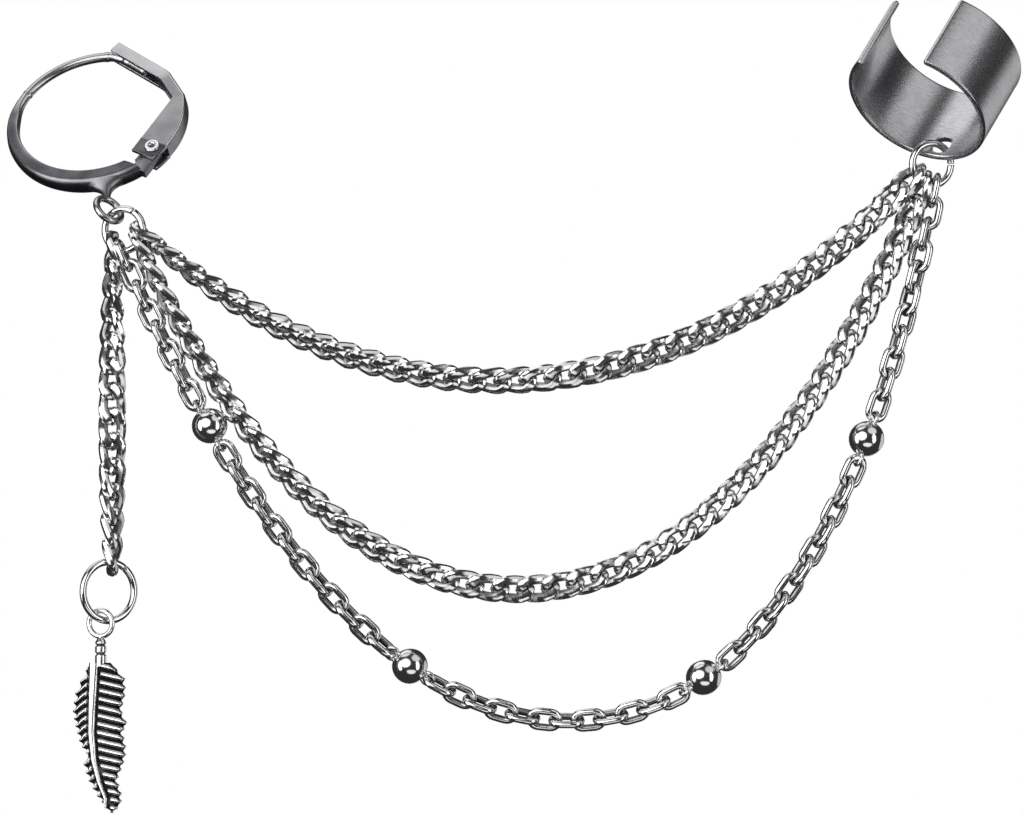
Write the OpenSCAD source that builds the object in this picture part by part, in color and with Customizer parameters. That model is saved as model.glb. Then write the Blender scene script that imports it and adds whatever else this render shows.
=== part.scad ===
/*
Ear chain earring. A hinged hoop for the lobe and an open cuff for the ear's rim
carry three chains that hang between them, and a fourth chain drops from the hoop
to a feather. X runs from hoop to cuff, Y away from the viewer, Z up, and the
origin is the point of the ear wire that rests in the pierced lobe.
*/

/* [Hoop] */
// Outer diameter of the hoop
hoop_d = 15.5; // [14.5:0.25:18]
// Thickness of the round ear wire
ear_wire_d = 0.8; // [0.7:0.05:0.9]
// Width of the hoop's front, along the hoop's axis
front_w = 1.7; // [1.4:0.1:2.4]
// Thickness of the hoop's front, from outside to inside
front_t = 1.6; // [1.4:0.1:2]
// Thickness of the body where it runs out into the ear wire
back_t = 0.66; // [0.6:0.02:0.7]
// Lean of the hoop away from the viewer, in degrees
hoop_lean = 43; // [35:1:50]
// Roll of the hoop in the viewer's plane, in degrees
hoop_roll = 16; // [8:1:24]
// Length of the neck between the hoop and its eye
neck_l = 1.5; // [1.2:0.1:2.5]
// Outer diameter of the eye under the hoop
eye_d = 2.9; // [2.7:0.1:3.3]
// Thickness of the eye's wire
eye_wire_d = 0.5; // [0.4:0.05:0.55]

/* [Lever] */
// Wall of the lever's bent sheet
lever_wall = 0.34; // [0.28:0.02:0.4]
// Distance of the rivet from the hoop's outside
rivet_inset = 1; // [0.9:0.05:1.2]
// Diameter of the rivet's shaft
rivet_d = 0.7; // [0.6:0.05:0.8]
// Diameter of the rivet's rolled heads
rivet_head_d = 1.3; // [1.1:0.1:1.5]
// Thickness of each rivet head
rivet_head_t = 0.18; // [0.14:0.02:0.24]
// Depth of the lever's catch, over the end of the ear wire
catch_depth = 1.1; // [0.9:0.05:1.2]

/* [Cuff] */
// Outer diameter of the cuff
cuff_d = 12.5; // [11:0.5:14]
// Width of the cuff's band
cuff_w = 7.5; // [6:0.5:9]
// Wall of the cuff's band
cuff_wall = 0.55; // [0.5:0.05:0.7]
// Angle that the cuff's opening takes, in degrees
cuff_gap = 63; // [50:1:75]
// Diameter of the hole for the jump ring
cuff_hole_d = 1.8; // [1.7:0.1:2]
// Distance of the hole's centre from the cuff's near rim
cuff_hole_in = 1.3; // [1.2:0.1:1.5]
// Reach from the lobe to the cuff's hole, to the side
cuff_reach = 71; // [62:0.5:76]
// Height of the cuff's hole below the lobe
cuff_drop = 7.8; // [4:0.1:12]

/* [Jump rings] */
// Outer diameter of the jump ring under the hoop
hoop_ring_d = 4.1; // [3.9:0.1:4.4]
// Outer diameter of the jump ring in the cuff
cuff_ring_d = 4.1; // [3.9:0.1:4.4]
// Outer diameter of the feather's jump ring
feather_ring_d = 5.5; // [5:0.1:6]
// Wire of the jump rings
ring_wire_d = 0.6; // [0.5:0.05:0.65]
// Width of the cut in each jump ring
ring_cut = 0.1; // [0.06:0.02:0.14]

/* [Curb chains] */
// Pitch of a curb link
curb_pitch = 2.1; // [2:0.05:2.3]
// Outer width of a curb link
curb_w = 2; // [1.8:0.05:2.1]
// Wire of the curb links
curb_wire_d = 0.42; // [0.38:0.02:0.44]
// Links of the upper chain
upper_links = 35; // [35:1:38]
// Links of the middle chain
middle_links = 46; // [44:1:48]
// Links of the drop chain
drop_links = 13; // [8:1:16]

/* [Beaded chain] */
// Pitch of a cable link
cable_pitch = 1.85; // [1.8:0.05:1.9]
// Outer width of a cable link
cable_w = 1.65; // [1.5:0.05:1.7]
// Wire of the cable links
cable_wire_d = 0.36; // [0.32:0.02:0.38]
// Diameter of a bead
bead_d = 3; // [2.5:0.1:3.5]
// Weight of a bead, in links of the chain
bead_weight = 3; // [1:0.5:6]
// Angle by which the beaded chain's sag leans to one side
sag_lean = 7; // [0:1:10]

/* [Feather] */
// Length of the feather's vane
vane_l = 12.5; // [10:0.5:16]
// Width of the feather's vane
vane_w = 5; // [4:0.25:6]
// Thickness of the vane between its barbs
vane_t = 0.5; // [0.4:0.05:0.7]
// Height of the barbs above each side of the vane
barb_h = 0.16; // [0.1:0.02:0.24]
// Height of the quill above each side of the vane
quill_h = 0.3; // [0.26:0.02:0.4]
// Width of the quill
quill_w = 0.65; // [0.5:0.05:0.8]
// Length of the neck between the feather's eye and its vane
stem_l = 2.2; // [1.8:0.1:4]
// Thickness of the feather's neck
stem_d = 0.95; // [0.8:0.05:1.1]
// Outer diameter of the feather's eye
feather_eye_d = 2.6; // [2.5:0.1:3]
// Wire of the feather's eye
feather_eye_wire_d = 0.46; // [0.4:0.02:0.5]
// Turn of the feather about its own length, in degrees
feather_turn = 24; // [16:1:30]

/* [Fits] */
// Gap between interlocked pieces
link_gap = 0.2; // [0.18:0.01:0.22]
// Side clearance of the lever on the lug and the ear wire
lever_gap = 0.06; // [0.05:0.01:0.08]
// Radial clearance of the rivet in its holes
rivet_gap = 0.03; // [0.02:0.01:0.04]

/* [Hidden] */
$fn = 96;
eps = 0.01;
bright = "silver";
dark = "dimgray";
satin = "darkgray";

// Angles in the hoop's own plane start at its lowest point and run on to the viewer's left.
hoop_r = hoop_d / 2;
ear_wire_r = ear_wire_d / 2;
ear_r = hoop_r - ear_wire_r;
seat_at = 190;
body_from = 135;
neck_at = 5;
rivet_at = -36;
rivet_r = hoop_r - rivet_inset;
lug_r = 0.7;
lug_root = 0.2;
body_end_out = 2.26;
body_end_at = 44;
channel_w = ear_wire_d + 2 * lever_gap;
lever_w = channel_w + 2 * lever_wall;
eye_r = (eye_d - eye_wire_d) / 2;
eye_out = hoop_r + neck_l + eye_r;
eye_turn = 45;
neck_foot_r = 0.8;
neck_sink = 0.35;
neck_tip_r = eye_wire_d / 2;

// Corners of the lever, as angles in the hoop's plane and distances out from the hoop's outside.
cheek_low_at = -23.5;
cheek_low_in = 2.15;
cheek_end_at = -29;
strap_from = -42;
notch_at = -86;
notch_in = 1.05;
bend_at = -111;
bend_out = -0.3;
tip_at = -155;
tip_out = 0.62;
strap_step = 3;
channel_past = 1.5;

// The jump rings hang upright, each turned about the vertical.
ring_wire_r = ring_wire_d / 2;
hoop_ring_turn = 24.5;
cuff_ring_turn = -22;
feather_ring_turn = -32;
hoop_ring_r = (hoop_ring_d - ring_wire_d) / 2;
cuff_ring_r = (cuff_ring_d - ring_wire_d) / 2;
feather_ring_r = (feather_ring_d - ring_wire_d) / 2;
hoop_ring_hold = 130;
cuff_ring_hold = 55;
feather_ring_hold = -108;
feather_ring_hang = 80;

// Lie of the cuff: lean of its axis from the line of sight and its direction in the viewer's plane.
cuff_lean = 56.4;
cuff_rise = 58.6;
cuff_r = (cuff_d - cuff_wall) / 2;
cuff_hole_at = 142;
cuff_gap_mid = -46.5;

// Where each chain hangs on its two rings, as angles round the ring.
upper_ends = [2, -155];
middle_ends = [-30, -113];
lower_ends = [-110, -71];
drop_end = -143;

// Roll of the links along each chain: share of the chain and angle.
upper_roll = [[0, 84], [0.12, 54], [0.45, 32], [0.6, 2], [0.9, -8], [1, -38]];
middle_roll = [[0, 82], [0.1, 60], [0.3, 40], [0.5, 0], [0.7, -30], [0.92, -32], [1, -48]];
lower_roll = [[0, 99], [0.12, 115], [0.88, 117], [1, 191]];
drop_roll = [[0, 84], [0.3, 40], [1, -77]];

// Items of the beaded chain: links before, between and after its four beads.
lower_runs = [8, 12, 12, 11, 11];
bead_loop_r = 0.5;
bead_sides = 12;

// Facets of a link: steps round each end and sides of the wire.
end_steps = 4;
wire_sides = 5;
solve_steps = 26;

// Vectors
function unit(v) = v / norm(v);
function polar(r, a) = [r * cos(a), r * sin(a)];
function sum(list, i = 0) = i < len(list) ? list[i] + sum(list, i + 1) : 0;

// A piece whose own axis starts as Z is aimed by the lean from the line of sight and a direction.
function aim_at(p, lean, rise) = let (
        a = [p[0], p[2], -p[1]],
        b = [a[0] * cos(lean) + a[1] * sin(lean), a[1] * cos(lean) - a[0] * sin(lean), a[2]]
    ) [b[0] * cos(rise) - b[2] * sin(rise), b[1], b[0] * sin(rise) + b[2] * cos(rise)];

module aim(lean, rise) {
    rotate([0, -rise, 0])
        rotate([0, 0, -lean])
            rotate([-90, 0, 0])
                children();
}

// Places worked out from the sizes
hoop_rise = hoop_roll - 90;
hoop_c = -aim_at([ear_r * cos(seat_at), ear_r * sin(seat_at), 0], hoop_lean, hoop_rise);
eye_c = hoop_c + aim_at([eye_out * cos(neck_at), eye_out * sin(neck_at), 0], hoop_lean, hoop_rise);

function ring_dir(turn, a) = [cos(turn) * cos(a), -sin(turn) * cos(a), sin(a)];

hoop_ring_sag = eye_r - eye_wire_d / 2 - ring_wire_r - link_gap;
hoop_ring_c = eye_c - (hoop_ring_r + hoop_ring_sag) * ring_dir(hoop_ring_turn, hoop_ring_hold);
cuff_hole_c = [cuff_reach, hoop_ring_c[1], -cuff_drop];
cuff_ring_c = cuff_hole_c - cuff_ring_r * ring_dir(cuff_ring_turn, cuff_ring_hold);
cuff_c = cuff_hole_c - aim_at([cuff_r * cos(cuff_hole_at), cuff_r * sin(cuff_hole_at),
    cuff_hole_in - cuff_w / 2], cuff_lean, cuff_rise);

// A chain's end link rests on the inside of its ring.
function on_ring(c, r, turn, a) = c + (r - ring_wire_r - link_gap / 2) * ring_dir(turn, a);
function on_hoop_ring(a) = on_ring(hoop_ring_c, hoop_ring_r, hoop_ring_turn, a);
function on_cuff_ring(a) = on_ring(cuff_ring_c, cuff_ring_r, cuff_ring_turn, a);

// Far end of a hanging row of items, for a side pull and a lift at its first end.
// Items are [length, weight], and the result is the distance to the side and the height.
function hang_end(items, pull, lift, i = 0, out = 0, up = 0) =
    i == len(items) ? [out, up] :
    let (v = lift - items[i][1] / 2, f = norm([pull, v]))
    hang_end(items, pull, lift - items[i][1], i + 1,
        out + items[i][0] * pull / f, up - items[i][0] * v / f);

// Lift that brings the far end to the wanted height, by halving.
function hang_lift(items, pull, up, lo, hi, n = solve_steps) =
    n == 0 ? (lo + hi) / 2 :
    let (mid = (lo + hi) / 2)
    hang_end(items, pull, mid)[1] > up
        ? hang_lift(items, pull, up, mid, hi, n - 1)
        : hang_lift(items, pull, up, lo, mid, n - 1);

// Pull that brings the far end to the wanted distance, by halving on a log scale.
function hang_pull(items, out, up, w, lo = -3, hi = 2, n = solve_steps) =
    let (mid = (lo + hi) / 2, pull = w * pow(10, mid))
    n == 0 ? pull :
    hang_end(items, pull, hang_lift(items, pull, up, -3 * w, 4 * w))[0] < out
        ? hang_pull(items, out, up, w, mid, hi, n - 1)
        : hang_pull(items, out, up, w, lo, mid, n - 1);

// Joints between the items along the solved curve, as distance to the side and height.
function hang_points(items, pull, lift) = [
    for (i = 0, out = 0, up = 0, v = lift; i <= len(items);
        w = i < len(items) ? items[i][1] : 0,
        l = i < len(items) ? items[i][0] : 0,
        f = norm([pull, v - w / 2]),
        out = out + l * pull / f,
        up = up - l * (v - w / 2) / f,
        v = v - w,
        i = i + 1)
        [out, up]];

// Frames of the items of a chain hung from a to b: middle, direction, level-up and roll.
function hang(items, a, b, roll, lean = 0) = let (
        n = len(items),
        level = unit([b[0] - a[0], b[1] - a[1], 0]),
        side = cos(lean) * level + [0, 0, sin(lean)],
        rise = [0, 0, cos(lean)] - sin(lean) * level,
        up = (b - a) * rise,
        w = sum([for (item = items) item[1]]),
        pull = hang_pull(items, (b - a) * side, up, w),
        lift = hang_lift(items, pull, up, -3 * w, 4 * w),
        p = hang_points(items, pull, lift)
    ) [for (i = [0:n - 1]) let (d = unit(p[i + 1] - p[i]), m = (p[i] + p[i + 1]) / 2)
        [a + m[0] * side + m[1] * rise,
            d[0] * side + d[1] * rise,
            d[0] * rise - d[1] * side,
            lookup((i + 0.5) / n, roll)]];

// Half length of a link that leaves the gap where two of them meet.
function half_link(pitch, wire_d) = (pitch + wire_d + link_gap) / 2;

// Wire centreline of a link: two round ends, the whole twisted about the chain's direction.
function link_line(half_l, half_w, twist) = [for (side = [1, -1], k = [0:end_steps])
    let (
        a = side * 90 * (2 * k / end_steps - 1),
        x = side * (half_l - half_w + half_w * cos(a)),
        y = half_w * sin(a),
        t = twist * x / half_l
    ) [x, y * cos(t), y * sin(t)]];

// Closed wire of a link in its frame, as points and faces.
module link(frame, half_l, half_w, wire_d, twist) {
    line = link_line(half_l, half_w, twist);
    n = len(line);
    w = cos(frame[3]) * frame[2] + sin(frame[3]) * cross(frame[1], frame[2]);
    t = cross(frame[1], w);
    points = [for (i = [0:n - 1]) let (
            along = unit(line[(i + 1) % n] - line[(i + n - 1) % n]),
            out = unit(cross(along, cross(line[i], along))),
            aside = cross(along, out)
        ) for (k = [0:wire_sides - 1]) let (
            a = 360 * k / wire_sides,
            q = line[i] + wire_d / 2 * (cos(a) * out + sin(a) * aside)
        ) frame[0] + q[0] * frame[1] + q[1] * w + q[2] * t];
    faces = [for (i = [0:n - 1], k = [0:wire_sides - 1]) let (
            here = i * wire_sides,
            next = (i + 1) % n * wire_sides,
            k2 = (k + 1) % wire_sides
        ) each [[here + k, here + k2, next + k2], [here + k, next + k2, next + k]]];
    polyhedron(points, faces, convexity = 4);
}

// Curb links are twisted by a quarter turn from end to end, so that the chain lies flat.
curb_item = [curb_pitch, 1];

module curb_chain(frames) {
    for (frame = frames)
        link(frame, half_link(curb_pitch, curb_wire_d), (curb_w - curb_wire_d) / 2, curb_wire_d, -45);
}

module upper_chain() {
    items = [for (i = [1:upper_links]) curb_item];
    color(bright)
        curb_chain(hang(items, on_hoop_ring(upper_ends[0]), on_cuff_ring(upper_ends[1]), upper_roll));
}

module middle_chain() {
    items = [for (i = [1:middle_links]) curb_item];
    color(bright)
        curb_chain(hang(items, on_hoop_ring(middle_ends[0]), on_cuff_ring(middle_ends[1]), middle_roll));
}

// The drop chain hangs straight down, so its frames need no solving.
drop_top = on_hoop_ring(drop_end);

module drop_chain() {
    frames = [for (i = [0:drop_links - 1])
        [drop_top - [0, 0, (i + 0.5) * curb_pitch], [0, 0, -1], [1, 0, 0],
            lookup((i + 0.5) / drop_links, drop_roll)]];
    color(bright)
        curb_chain(frames);
}

// The beaded chain is a row of cable links with a bead as one item after each run but the last.
bead_pitch = bead_d + 2 * (bead_loop_r - cable_wire_d / 2) + 2 * bead_loop_r - cable_wire_d - link_gap;
cable_item = [cable_pitch, 1];
bead_item = [bead_pitch, bead_weight];
lower_items = [for (run = [0:len(lower_runs) - 1])
    for (i = [1:lower_runs[run] + (run < len(lower_runs) - 1 ? 1 : 0)])
        i > lower_runs[run] ? bead_item : cable_item];

function lower_frames() = hang(lower_items, on_hoop_ring(lower_ends[0]),
    on_cuff_ring(lower_ends[1]), lower_roll, sag_lean);

module lower_chain() {
    frames = lower_frames();
    color(bright)
        for (i = [0:len(lower_items) - 1])
            if (lower_items[i] == cable_item)
                link([frames[i][0], frames[i][1], frames[i][2], frames[i][3] + 90 * (i % 2)],
                    half_link(cable_pitch, cable_wire_d), (cable_w - cable_wire_d) / 2, cable_wire_d, 0);
}

// Rigid placement in an item's frame: X along the chain, Y across it.
module in_frame(frame, roll) {
    w = cos(roll) * frame[2] + sin(roll) * cross(frame[1], frame[2]);
    t = cross(frame[1], w);
    multmatrix([for (r = [0:2]) [frame[1][r], w[r], t[r], frame[0][r]]])
        children();
}

module bead(number) {
    i = sum([for (k = [0:number - 1]) lower_runs[k]]) + number - 1;
    frame = lower_frames()[i];
    color(bright)
        in_frame(frame, frame[3] + 90 * (i % 2)) {
            rotate([0, 90, 0])
                sphere(d = bead_d, $fn = bead_sides);
            for (side = [-1, 1])
                translate([side * (bead_d / 2 + bead_loop_r - cable_wire_d / 2), 0, 0])
                    rotate_extrude()
                        translate([bead_loop_r, 0])
                            circle(d = cable_wire_d, $fn = 24);
        }
}

module bead_1() { bead(1); }
module bead_2() { bead(2); }
module bead_3() { bead(3); }
module bead_4() { bead(4); }

// Round wire bent to part of a circle about Z
module wire_arc(r, wire_r, from, to) {
    rotate([0, 0, from])
        rotate_extrude(angle = to - from)
            translate([r, 0])
                circle(wire_r, $fn = 32);
}

// The ear wire leaves the circle by a tighter bend and runs straight where it lies in the
// lever's catch, with a slight collar at its start and at each end of the bend.
catch_a = polar(hoop_r + bend_out, bend_at);
catch_b = polar(hoop_r + tip_out, tip_at);
catch_dir = unit(catch_a - catch_b);
catch_in = [-catch_dir[1], catch_dir[0]];
catch_far = -catch_b * catch_in;
line_r = catch_far - lever_wall - lever_gap - ear_wire_r;
line_at = 360 + atan2(-catch_in[1], -catch_in[0]);
ear_bend_r = 3;
ear_bend_turn = acos((line_r - ear_bend_r) / (ear_r - ear_bend_r));
ear_arc_to = line_at - ear_bend_turn;
ear_straight_from = -sqrt(pow(ear_r - ear_bend_r, 2) - pow(line_r - ear_bend_r, 2));
ear_end = -0.65;
ear_start_sink = 0.5;
ear_collar_r = ear_wire_r * 1.12;
ear_collar_l = 0.4;

module ear_collar(r, at) {
    translate(polar(r, at))
        rotate([90, 0, at])
            cylinder(r = ear_collar_r, h = ear_collar_l, center = true);
}

module ear_wire() {
    ear_collar(ear_r, body_from);
    wire_arc(ear_r, ear_wire_r, body_from - ear_start_sink, ear_arc_to);
    ear_collar(ear_r, ear_arc_to);
    translate(polar(ear_r - ear_bend_r, ear_arc_to))
        wire_arc(ear_bend_r, ear_wire_r, ear_arc_to, line_at);
    rotate([0, 0, line_at])
        translate([line_r, 0, 0])
            rotate([-90, 0, 0])
                translate([0, 0, ear_straight_from]) {
                    cylinder(r = ear_collar_r, h = ear_collar_l, center = true);
                    cylinder(r = ear_wire_r, h = ear_end - ear_straight_from);
                    translate([0, 0, ear_end - ear_straight_from])
                        sphere(ear_wire_r);
                }
}

// Crowned band that thins towards the ear wire: its hole is off centre and a wedge narrows it.
inner_r = hoop_r - (front_t + back_t) / 2;
inner_shift = (front_t - back_t) / 2;
crown_r = 0.65 * front_w;
rivet_c = polar(rivet_r, rivet_at);

module band_profile() {
    intersection() {
        translate([hoop_r - 2 * front_t, -front_w / 2])
            square([2 * front_t, front_w]);
        union() {
            translate([hoop_r - crown_r, 0])
                circle(crown_r);
            translate([hoop_r - 2 * front_t, -front_w])
                square([2 * front_t - crown_r, 2 * front_w]);
        }
    }
}

module hoop_band() {
    wedge_back = hoop_r * cos(body_from);
    difference() {
        intersection() {
            rotate([0, 0, strap_from])
                rotate_extrude(angle = body_from - strap_from)
                    band_profile();
            rotate([90, 0, 0])
                linear_extrude(4 * hoop_r, center = true)
                    polygon([[wedge_back, -ear_wire_r], [hoop_r, -front_w / 2],
                        [hoop_r, front_w / 2], [wedge_back, ear_wire_r]]);
        }
        translate([-inner_shift, 0, -front_w])
            cylinder(r = inner_r, h = 2 * front_w);
        translate(rivet_c)
            rotate([0, 0, body_end_at])
                translate([body_end_out - 2 * hoop_r, -hoop_r, -front_w])
                    cube([2 * hoop_r, 2 * hoop_r, 2 * front_w]);
    }
}

module hinge_lug() {
    difference() {
        translate([0, 0, -ear_wire_r])
            linear_extrude(ear_wire_d) {
                translate(rivet_c)
                    circle(lug_r);
                translate(rivet_c)
                    rotate([0, 0, body_end_at])
                        translate([0, -lug_r])
                            square([body_end_out + lug_root, 2 * lug_r]);
            }
        translate([rivet_c[0], rivet_c[1], -front_w])
            cylinder(d = rivet_d + 2 * rivet_gap, h = 2 * front_w);
    }
}

module hoop_body() {
    color(dark)
        translate(hoop_c)
            aim(hoop_lean, hoop_rise) {
                hoop_band();
                ear_wire();
                hinge_lug();
                rotate([0, 0, neck_at]) {
                    translate([hoop_r - neck_sink, 0, 0])
                        rotate([0, 90, 0])
                            cylinder(r1 = neck_foot_r, r2 = neck_tip_r, h = neck_l + neck_sink);
                    translate([eye_out, 0, 0])
                        rotate([-eye_turn, 0, 0])
                            rotate_extrude()
                                translate([eye_r, 0])
                                    circle(d = eye_wire_d, $fn = 32);
                }
            }
}

// Outline of the lever in the hoop's plane. The channel is the same outline drawn in by a
// wall on its outer side, reaching past the inner edges and the tip.
module lever_outline(wall = 0, past = 0) {
    shift = catch_in * wall;
    depth = catch_in * (catch_depth + past);
    beyond = catch_dir * past;
    polygon(concat(
        [polar(hoop_r - cheek_low_in - past, cheek_low_at)],
        [for (a = [cheek_end_at:-strap_step:notch_at]) polar(hoop_r - wall, a)],
        [catch_a + shift, catch_b + shift - beyond, catch_b + depth - beyond, catch_a + depth],
        [polar(hoop_r - notch_in - past, notch_at)]));
}

module hoop_lever() {
    color(dark)
        translate(hoop_c)
            aim(hoop_lean, hoop_rise)
                difference() {
                    translate([0, 0, -lever_w / 2])
                        linear_extrude(lever_w)
                            lever_outline();
                    translate([0, 0, -channel_w / 2])
                        linear_extrude(channel_w) {
                            lever_outline(lever_wall, channel_past);
                            rotate([0, 0, strap_from])
                                square([2 * hoop_r, hoop_r]);
                        }
                    translate([rivet_c[0], rivet_c[1], -lever_w])
                        cylinder(d = rivet_d + 2 * rivet_gap, h = 2 * lever_w);
                }
}

module hinge_rivet() {
    head_z = lever_w / 2 + rivet_gap;
    rivet_bore = 0.6 * rivet_d;
    color(bright)
        translate(hoop_c)
            aim(hoop_lean, hoop_rise)
                translate([rivet_c[0], rivet_c[1], 0])
                    difference() {
                        union() {
                            cylinder(d = rivet_d, h = 2 * (head_z + eps), center = true);
                            for (side = [-1, 1])
                                translate([0, 0, side * (head_z + rivet_head_t / 2)])
                                    cylinder(d = rivet_head_d, h = rivet_head_t, center = true);
                        }
                        cylinder(d = rivet_bore, h = 3 * lever_w, center = true);
                    }
}

module jump_ring(c, r, turn, cut_at) {
    half_cut = asin(ring_cut / 2 / r);
    color(bright)
        translate(c)
            aim(turn, 0)
                wire_arc(r, ring_wire_r, half_cut - cut_at, 360 - half_cut - cut_at);
}

module hoop_jump_ring() {
    jump_ring(hoop_ring_c, hoop_ring_r, hoop_ring_turn, 60);
}

module cuff_jump_ring() {
    jump_ring(cuff_ring_c, cuff_ring_r, cuff_ring_turn, 0);
}

module ear_cuff() {
    color(satin)
        translate(cuff_c)
            aim(cuff_lean, cuff_rise)
                difference() {
                    rotate([0, 0, cuff_gap_mid + cuff_gap / 2])
                        rotate_extrude(angle = 360 - cuff_gap)
                            translate([cuff_r, 0])
                                square([cuff_wall, cuff_w], center = true);
                    translate([0, 0, cuff_hole_in - cuff_w / 2])
                        rotate([0, 90, cuff_hole_at])
                            cylinder(d = cuff_hole_d, h = cuff_d);
                }
}

// The feather's ring hangs in the last link of the drop chain.
feather_ring_top = drop_top - [0, 0, drop_links * curb_pitch];
feather_ring_c = feather_ring_top
    - (feather_ring_r - ring_wire_r - link_gap / 2) * ring_dir(feather_ring_turn, feather_ring_hang);
feather_hook = feather_ring_c + feather_ring_r * ring_dir(feather_ring_turn, feather_ring_hold);

module pendant_jump_ring() {
    jump_ring(feather_ring_c, feather_ring_r, feather_ring_turn, 52);
}

// Outline of the vane: share of its length, then left and right edges as shares of its width.
vane_rows = [
    [0, -0.19, 0.17], [0.1, -0.33, 0.44], [0.2, -0.46, 0.46], [0.32, -0.51, 0.38],
    [0.41, -0.47, 0.49], [0.46, -0.43, 0.4], [0.55, -0.37, 0.46], [0.61, -0.24, 0.46],
    [0.66, -0.32, 0.43], [0.78, -0.22, 0.3], [0.88, -0.07, 0.38], [0.95, 0.07, 0.36], [1, 0.18, 0.22]];
// Line of the quill: share of the vane's length and place as a share of its width
quill_line = [[-0.02, -0.1], [0.33, -0.14], [0.47, -0.15], [0.65, -0.1], [0.79, 0], [0.9, 0.12]];
feather_eye_r = (feather_eye_d - feather_eye_wire_d) / 2;
eye_drop = feather_eye_r - feather_eye_wire_d / 2 - ring_wire_r - link_gap;
barb_pitch = 0.7;
barb_w = 0.42;
barb_start = 0.4;
left_slope = 0.65;
right_slope = 0.2;
quill_swell = 1.15;
quill_thin = 0.75;
collar_groove = 0.14;
stem_sink = 0.3;

function quill_x(share) = vane_w * lookup(share, quill_line);

module vane_outline() {
    polygon(concat(
        [for (row = vane_rows) [row[1] * vane_w, -row[0] * vane_l]],
        [for (i = [len(vane_rows) - 1:-1:0]) [vane_rows[i][2] * vane_w, -vane_rows[i][0] * vane_l]]));
}

// One side's barbs slope down from the quill and are cut to the outline.
module barbs(side, slope) {
    fall = slope * vane_w;
    intersection() {
        vane_outline();
        union()
            for (y = [-barb_start:barb_pitch:vane_l])
                let (x = quill_x(y / vane_l), x_far = x + side * vane_w)
                    polygon([[x, -y], [x_far, -y - fall], [x_far, -y - fall - barb_w], [x, -y - barb_w]]);
    }
}

function quill_half(share) = quill_w / 2 * (quill_swell - quill_thin * share);

module quill_outline() {
    polygon(concat(
        [for (q = quill_line) [q[1] * vane_w - quill_half(q[0]), -q[0] * vane_l]],
        [for (i = [len(quill_line) - 1:-1:0]) let (q = quill_line[i])
            [q[1] * vane_w + quill_half(q[0]), -q[0] * vane_l]]));
}

module slab(t) {
    rotate([90, 0, 0])
        linear_extrude(t, center = true)
            children();
}

module feather_pendant() {
    top = -feather_eye_r - stem_l;
    band = stem_l / 3;
    stem_r = stem_d / 2;
    collar_r = stem_r - collar_groove;
    color(satin)
        translate(feather_hook - [0, 0, eye_drop])
            rotate([0, 0, -feather_turn]) {
                rotate([90, 0, 0])
                    rotate_extrude()
                        translate([feather_eye_r, 0])
                            circle(d = feather_eye_wire_d, $fn = 32);
                translate([0, 0, top])
                    rotate_extrude()
                        polygon([[0, -stem_sink], [stem_r, -stem_sink], [stem_r, band - collar_groove],
                            [collar_r, band], [stem_r, band + collar_groove],
                            [stem_r, 2 * band - collar_groove], [collar_r, 2 * band],
                            [stem_r, 2 * band + collar_groove], [feather_eye_wire_d / 2, stem_l],
                            [0, stem_l]]);
                translate([0, 0, top]) {
                    slab(vane_t)
                        vane_outline();
                    slab(vane_t + 2 * barb_h) {
                        barbs(-1, left_slope);
                        barbs(1, right_slope);
                    }
                    slab(vane_t + 2 * quill_h)
                        quill_outline();
                }
            }
}

hoop_body();
hoop_lever();
hinge_rivet();
hoop_jump_ring();
cuff_jump_ring();
ear_cuff();
upper_chain();
middle_chain();
lower_chain();
bead_1();
bead_2();
bead_3();
bead_4();
drop_chain();
pendant_jump_ring();
feather_pendant();
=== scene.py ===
"""Ear chain earring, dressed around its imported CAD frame. A hinged hoop and an open cuff carry three
chains between them, and a fourth drops from the hoop to a feather. Shapes are worked out in
millimetres, in the frame that the CAD uses, and go into the meshes in metres."""

import bmesh
import bpy
import numpy as np
from mathutils import Matrix


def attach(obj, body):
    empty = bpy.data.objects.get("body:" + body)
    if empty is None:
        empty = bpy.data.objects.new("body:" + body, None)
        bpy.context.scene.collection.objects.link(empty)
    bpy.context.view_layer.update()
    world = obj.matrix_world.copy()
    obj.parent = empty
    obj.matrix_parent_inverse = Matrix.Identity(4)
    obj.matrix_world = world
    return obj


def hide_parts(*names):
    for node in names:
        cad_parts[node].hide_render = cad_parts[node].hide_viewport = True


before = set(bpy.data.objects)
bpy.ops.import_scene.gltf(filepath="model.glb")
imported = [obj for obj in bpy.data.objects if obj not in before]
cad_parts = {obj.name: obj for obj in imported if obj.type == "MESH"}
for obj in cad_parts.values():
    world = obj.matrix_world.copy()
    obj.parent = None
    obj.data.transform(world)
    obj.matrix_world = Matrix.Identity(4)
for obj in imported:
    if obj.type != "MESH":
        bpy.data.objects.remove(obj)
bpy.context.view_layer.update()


# Hoop body. One casting in dark polished steel: a crowned band that thins and narrows until it
# runs out as the round ear wire, with a lug for the hinge and a neck that carries an open eye.
MM = 0.001
WELD = 1e-8
HOOP_R, EAR_WIRE_R, FRONT_W, FRONT_T, BACK_T = 7.75, 0.4, 1.7, 1.6, 0.66
HOOP_LEAN, HOOP_RISE, SEAT_AT, BODY_FROM = 43, -74, 190, 135
RIVET_R, RIVET_AT, LUG_R, LUG_L = 6.75, -36, 0.68, 2.4
BODY_END_OUT, BODY_END_AT = 2.26, 44
EAR_R = HOOP_R - EAR_WIRE_R
CROWN_R = 0.65 * FRONT_W
INNER_R, INNER_SHIFT = HOOP_R - (FRONT_T + BACK_T) / 2, (FRONT_T - BACK_T) / 2


def unit(v):
    """Vectors along the last axis, each divided by its own length."""
    return v / np.linalg.norm(v, axis=-1, keepdims=True)


def stacked(*parts):
    """Arrays joined along a new last axis, as coordinates to points, each spread to the shape of all."""
    return np.stack(np.broadcast_arrays(*parts), -1)


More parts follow.
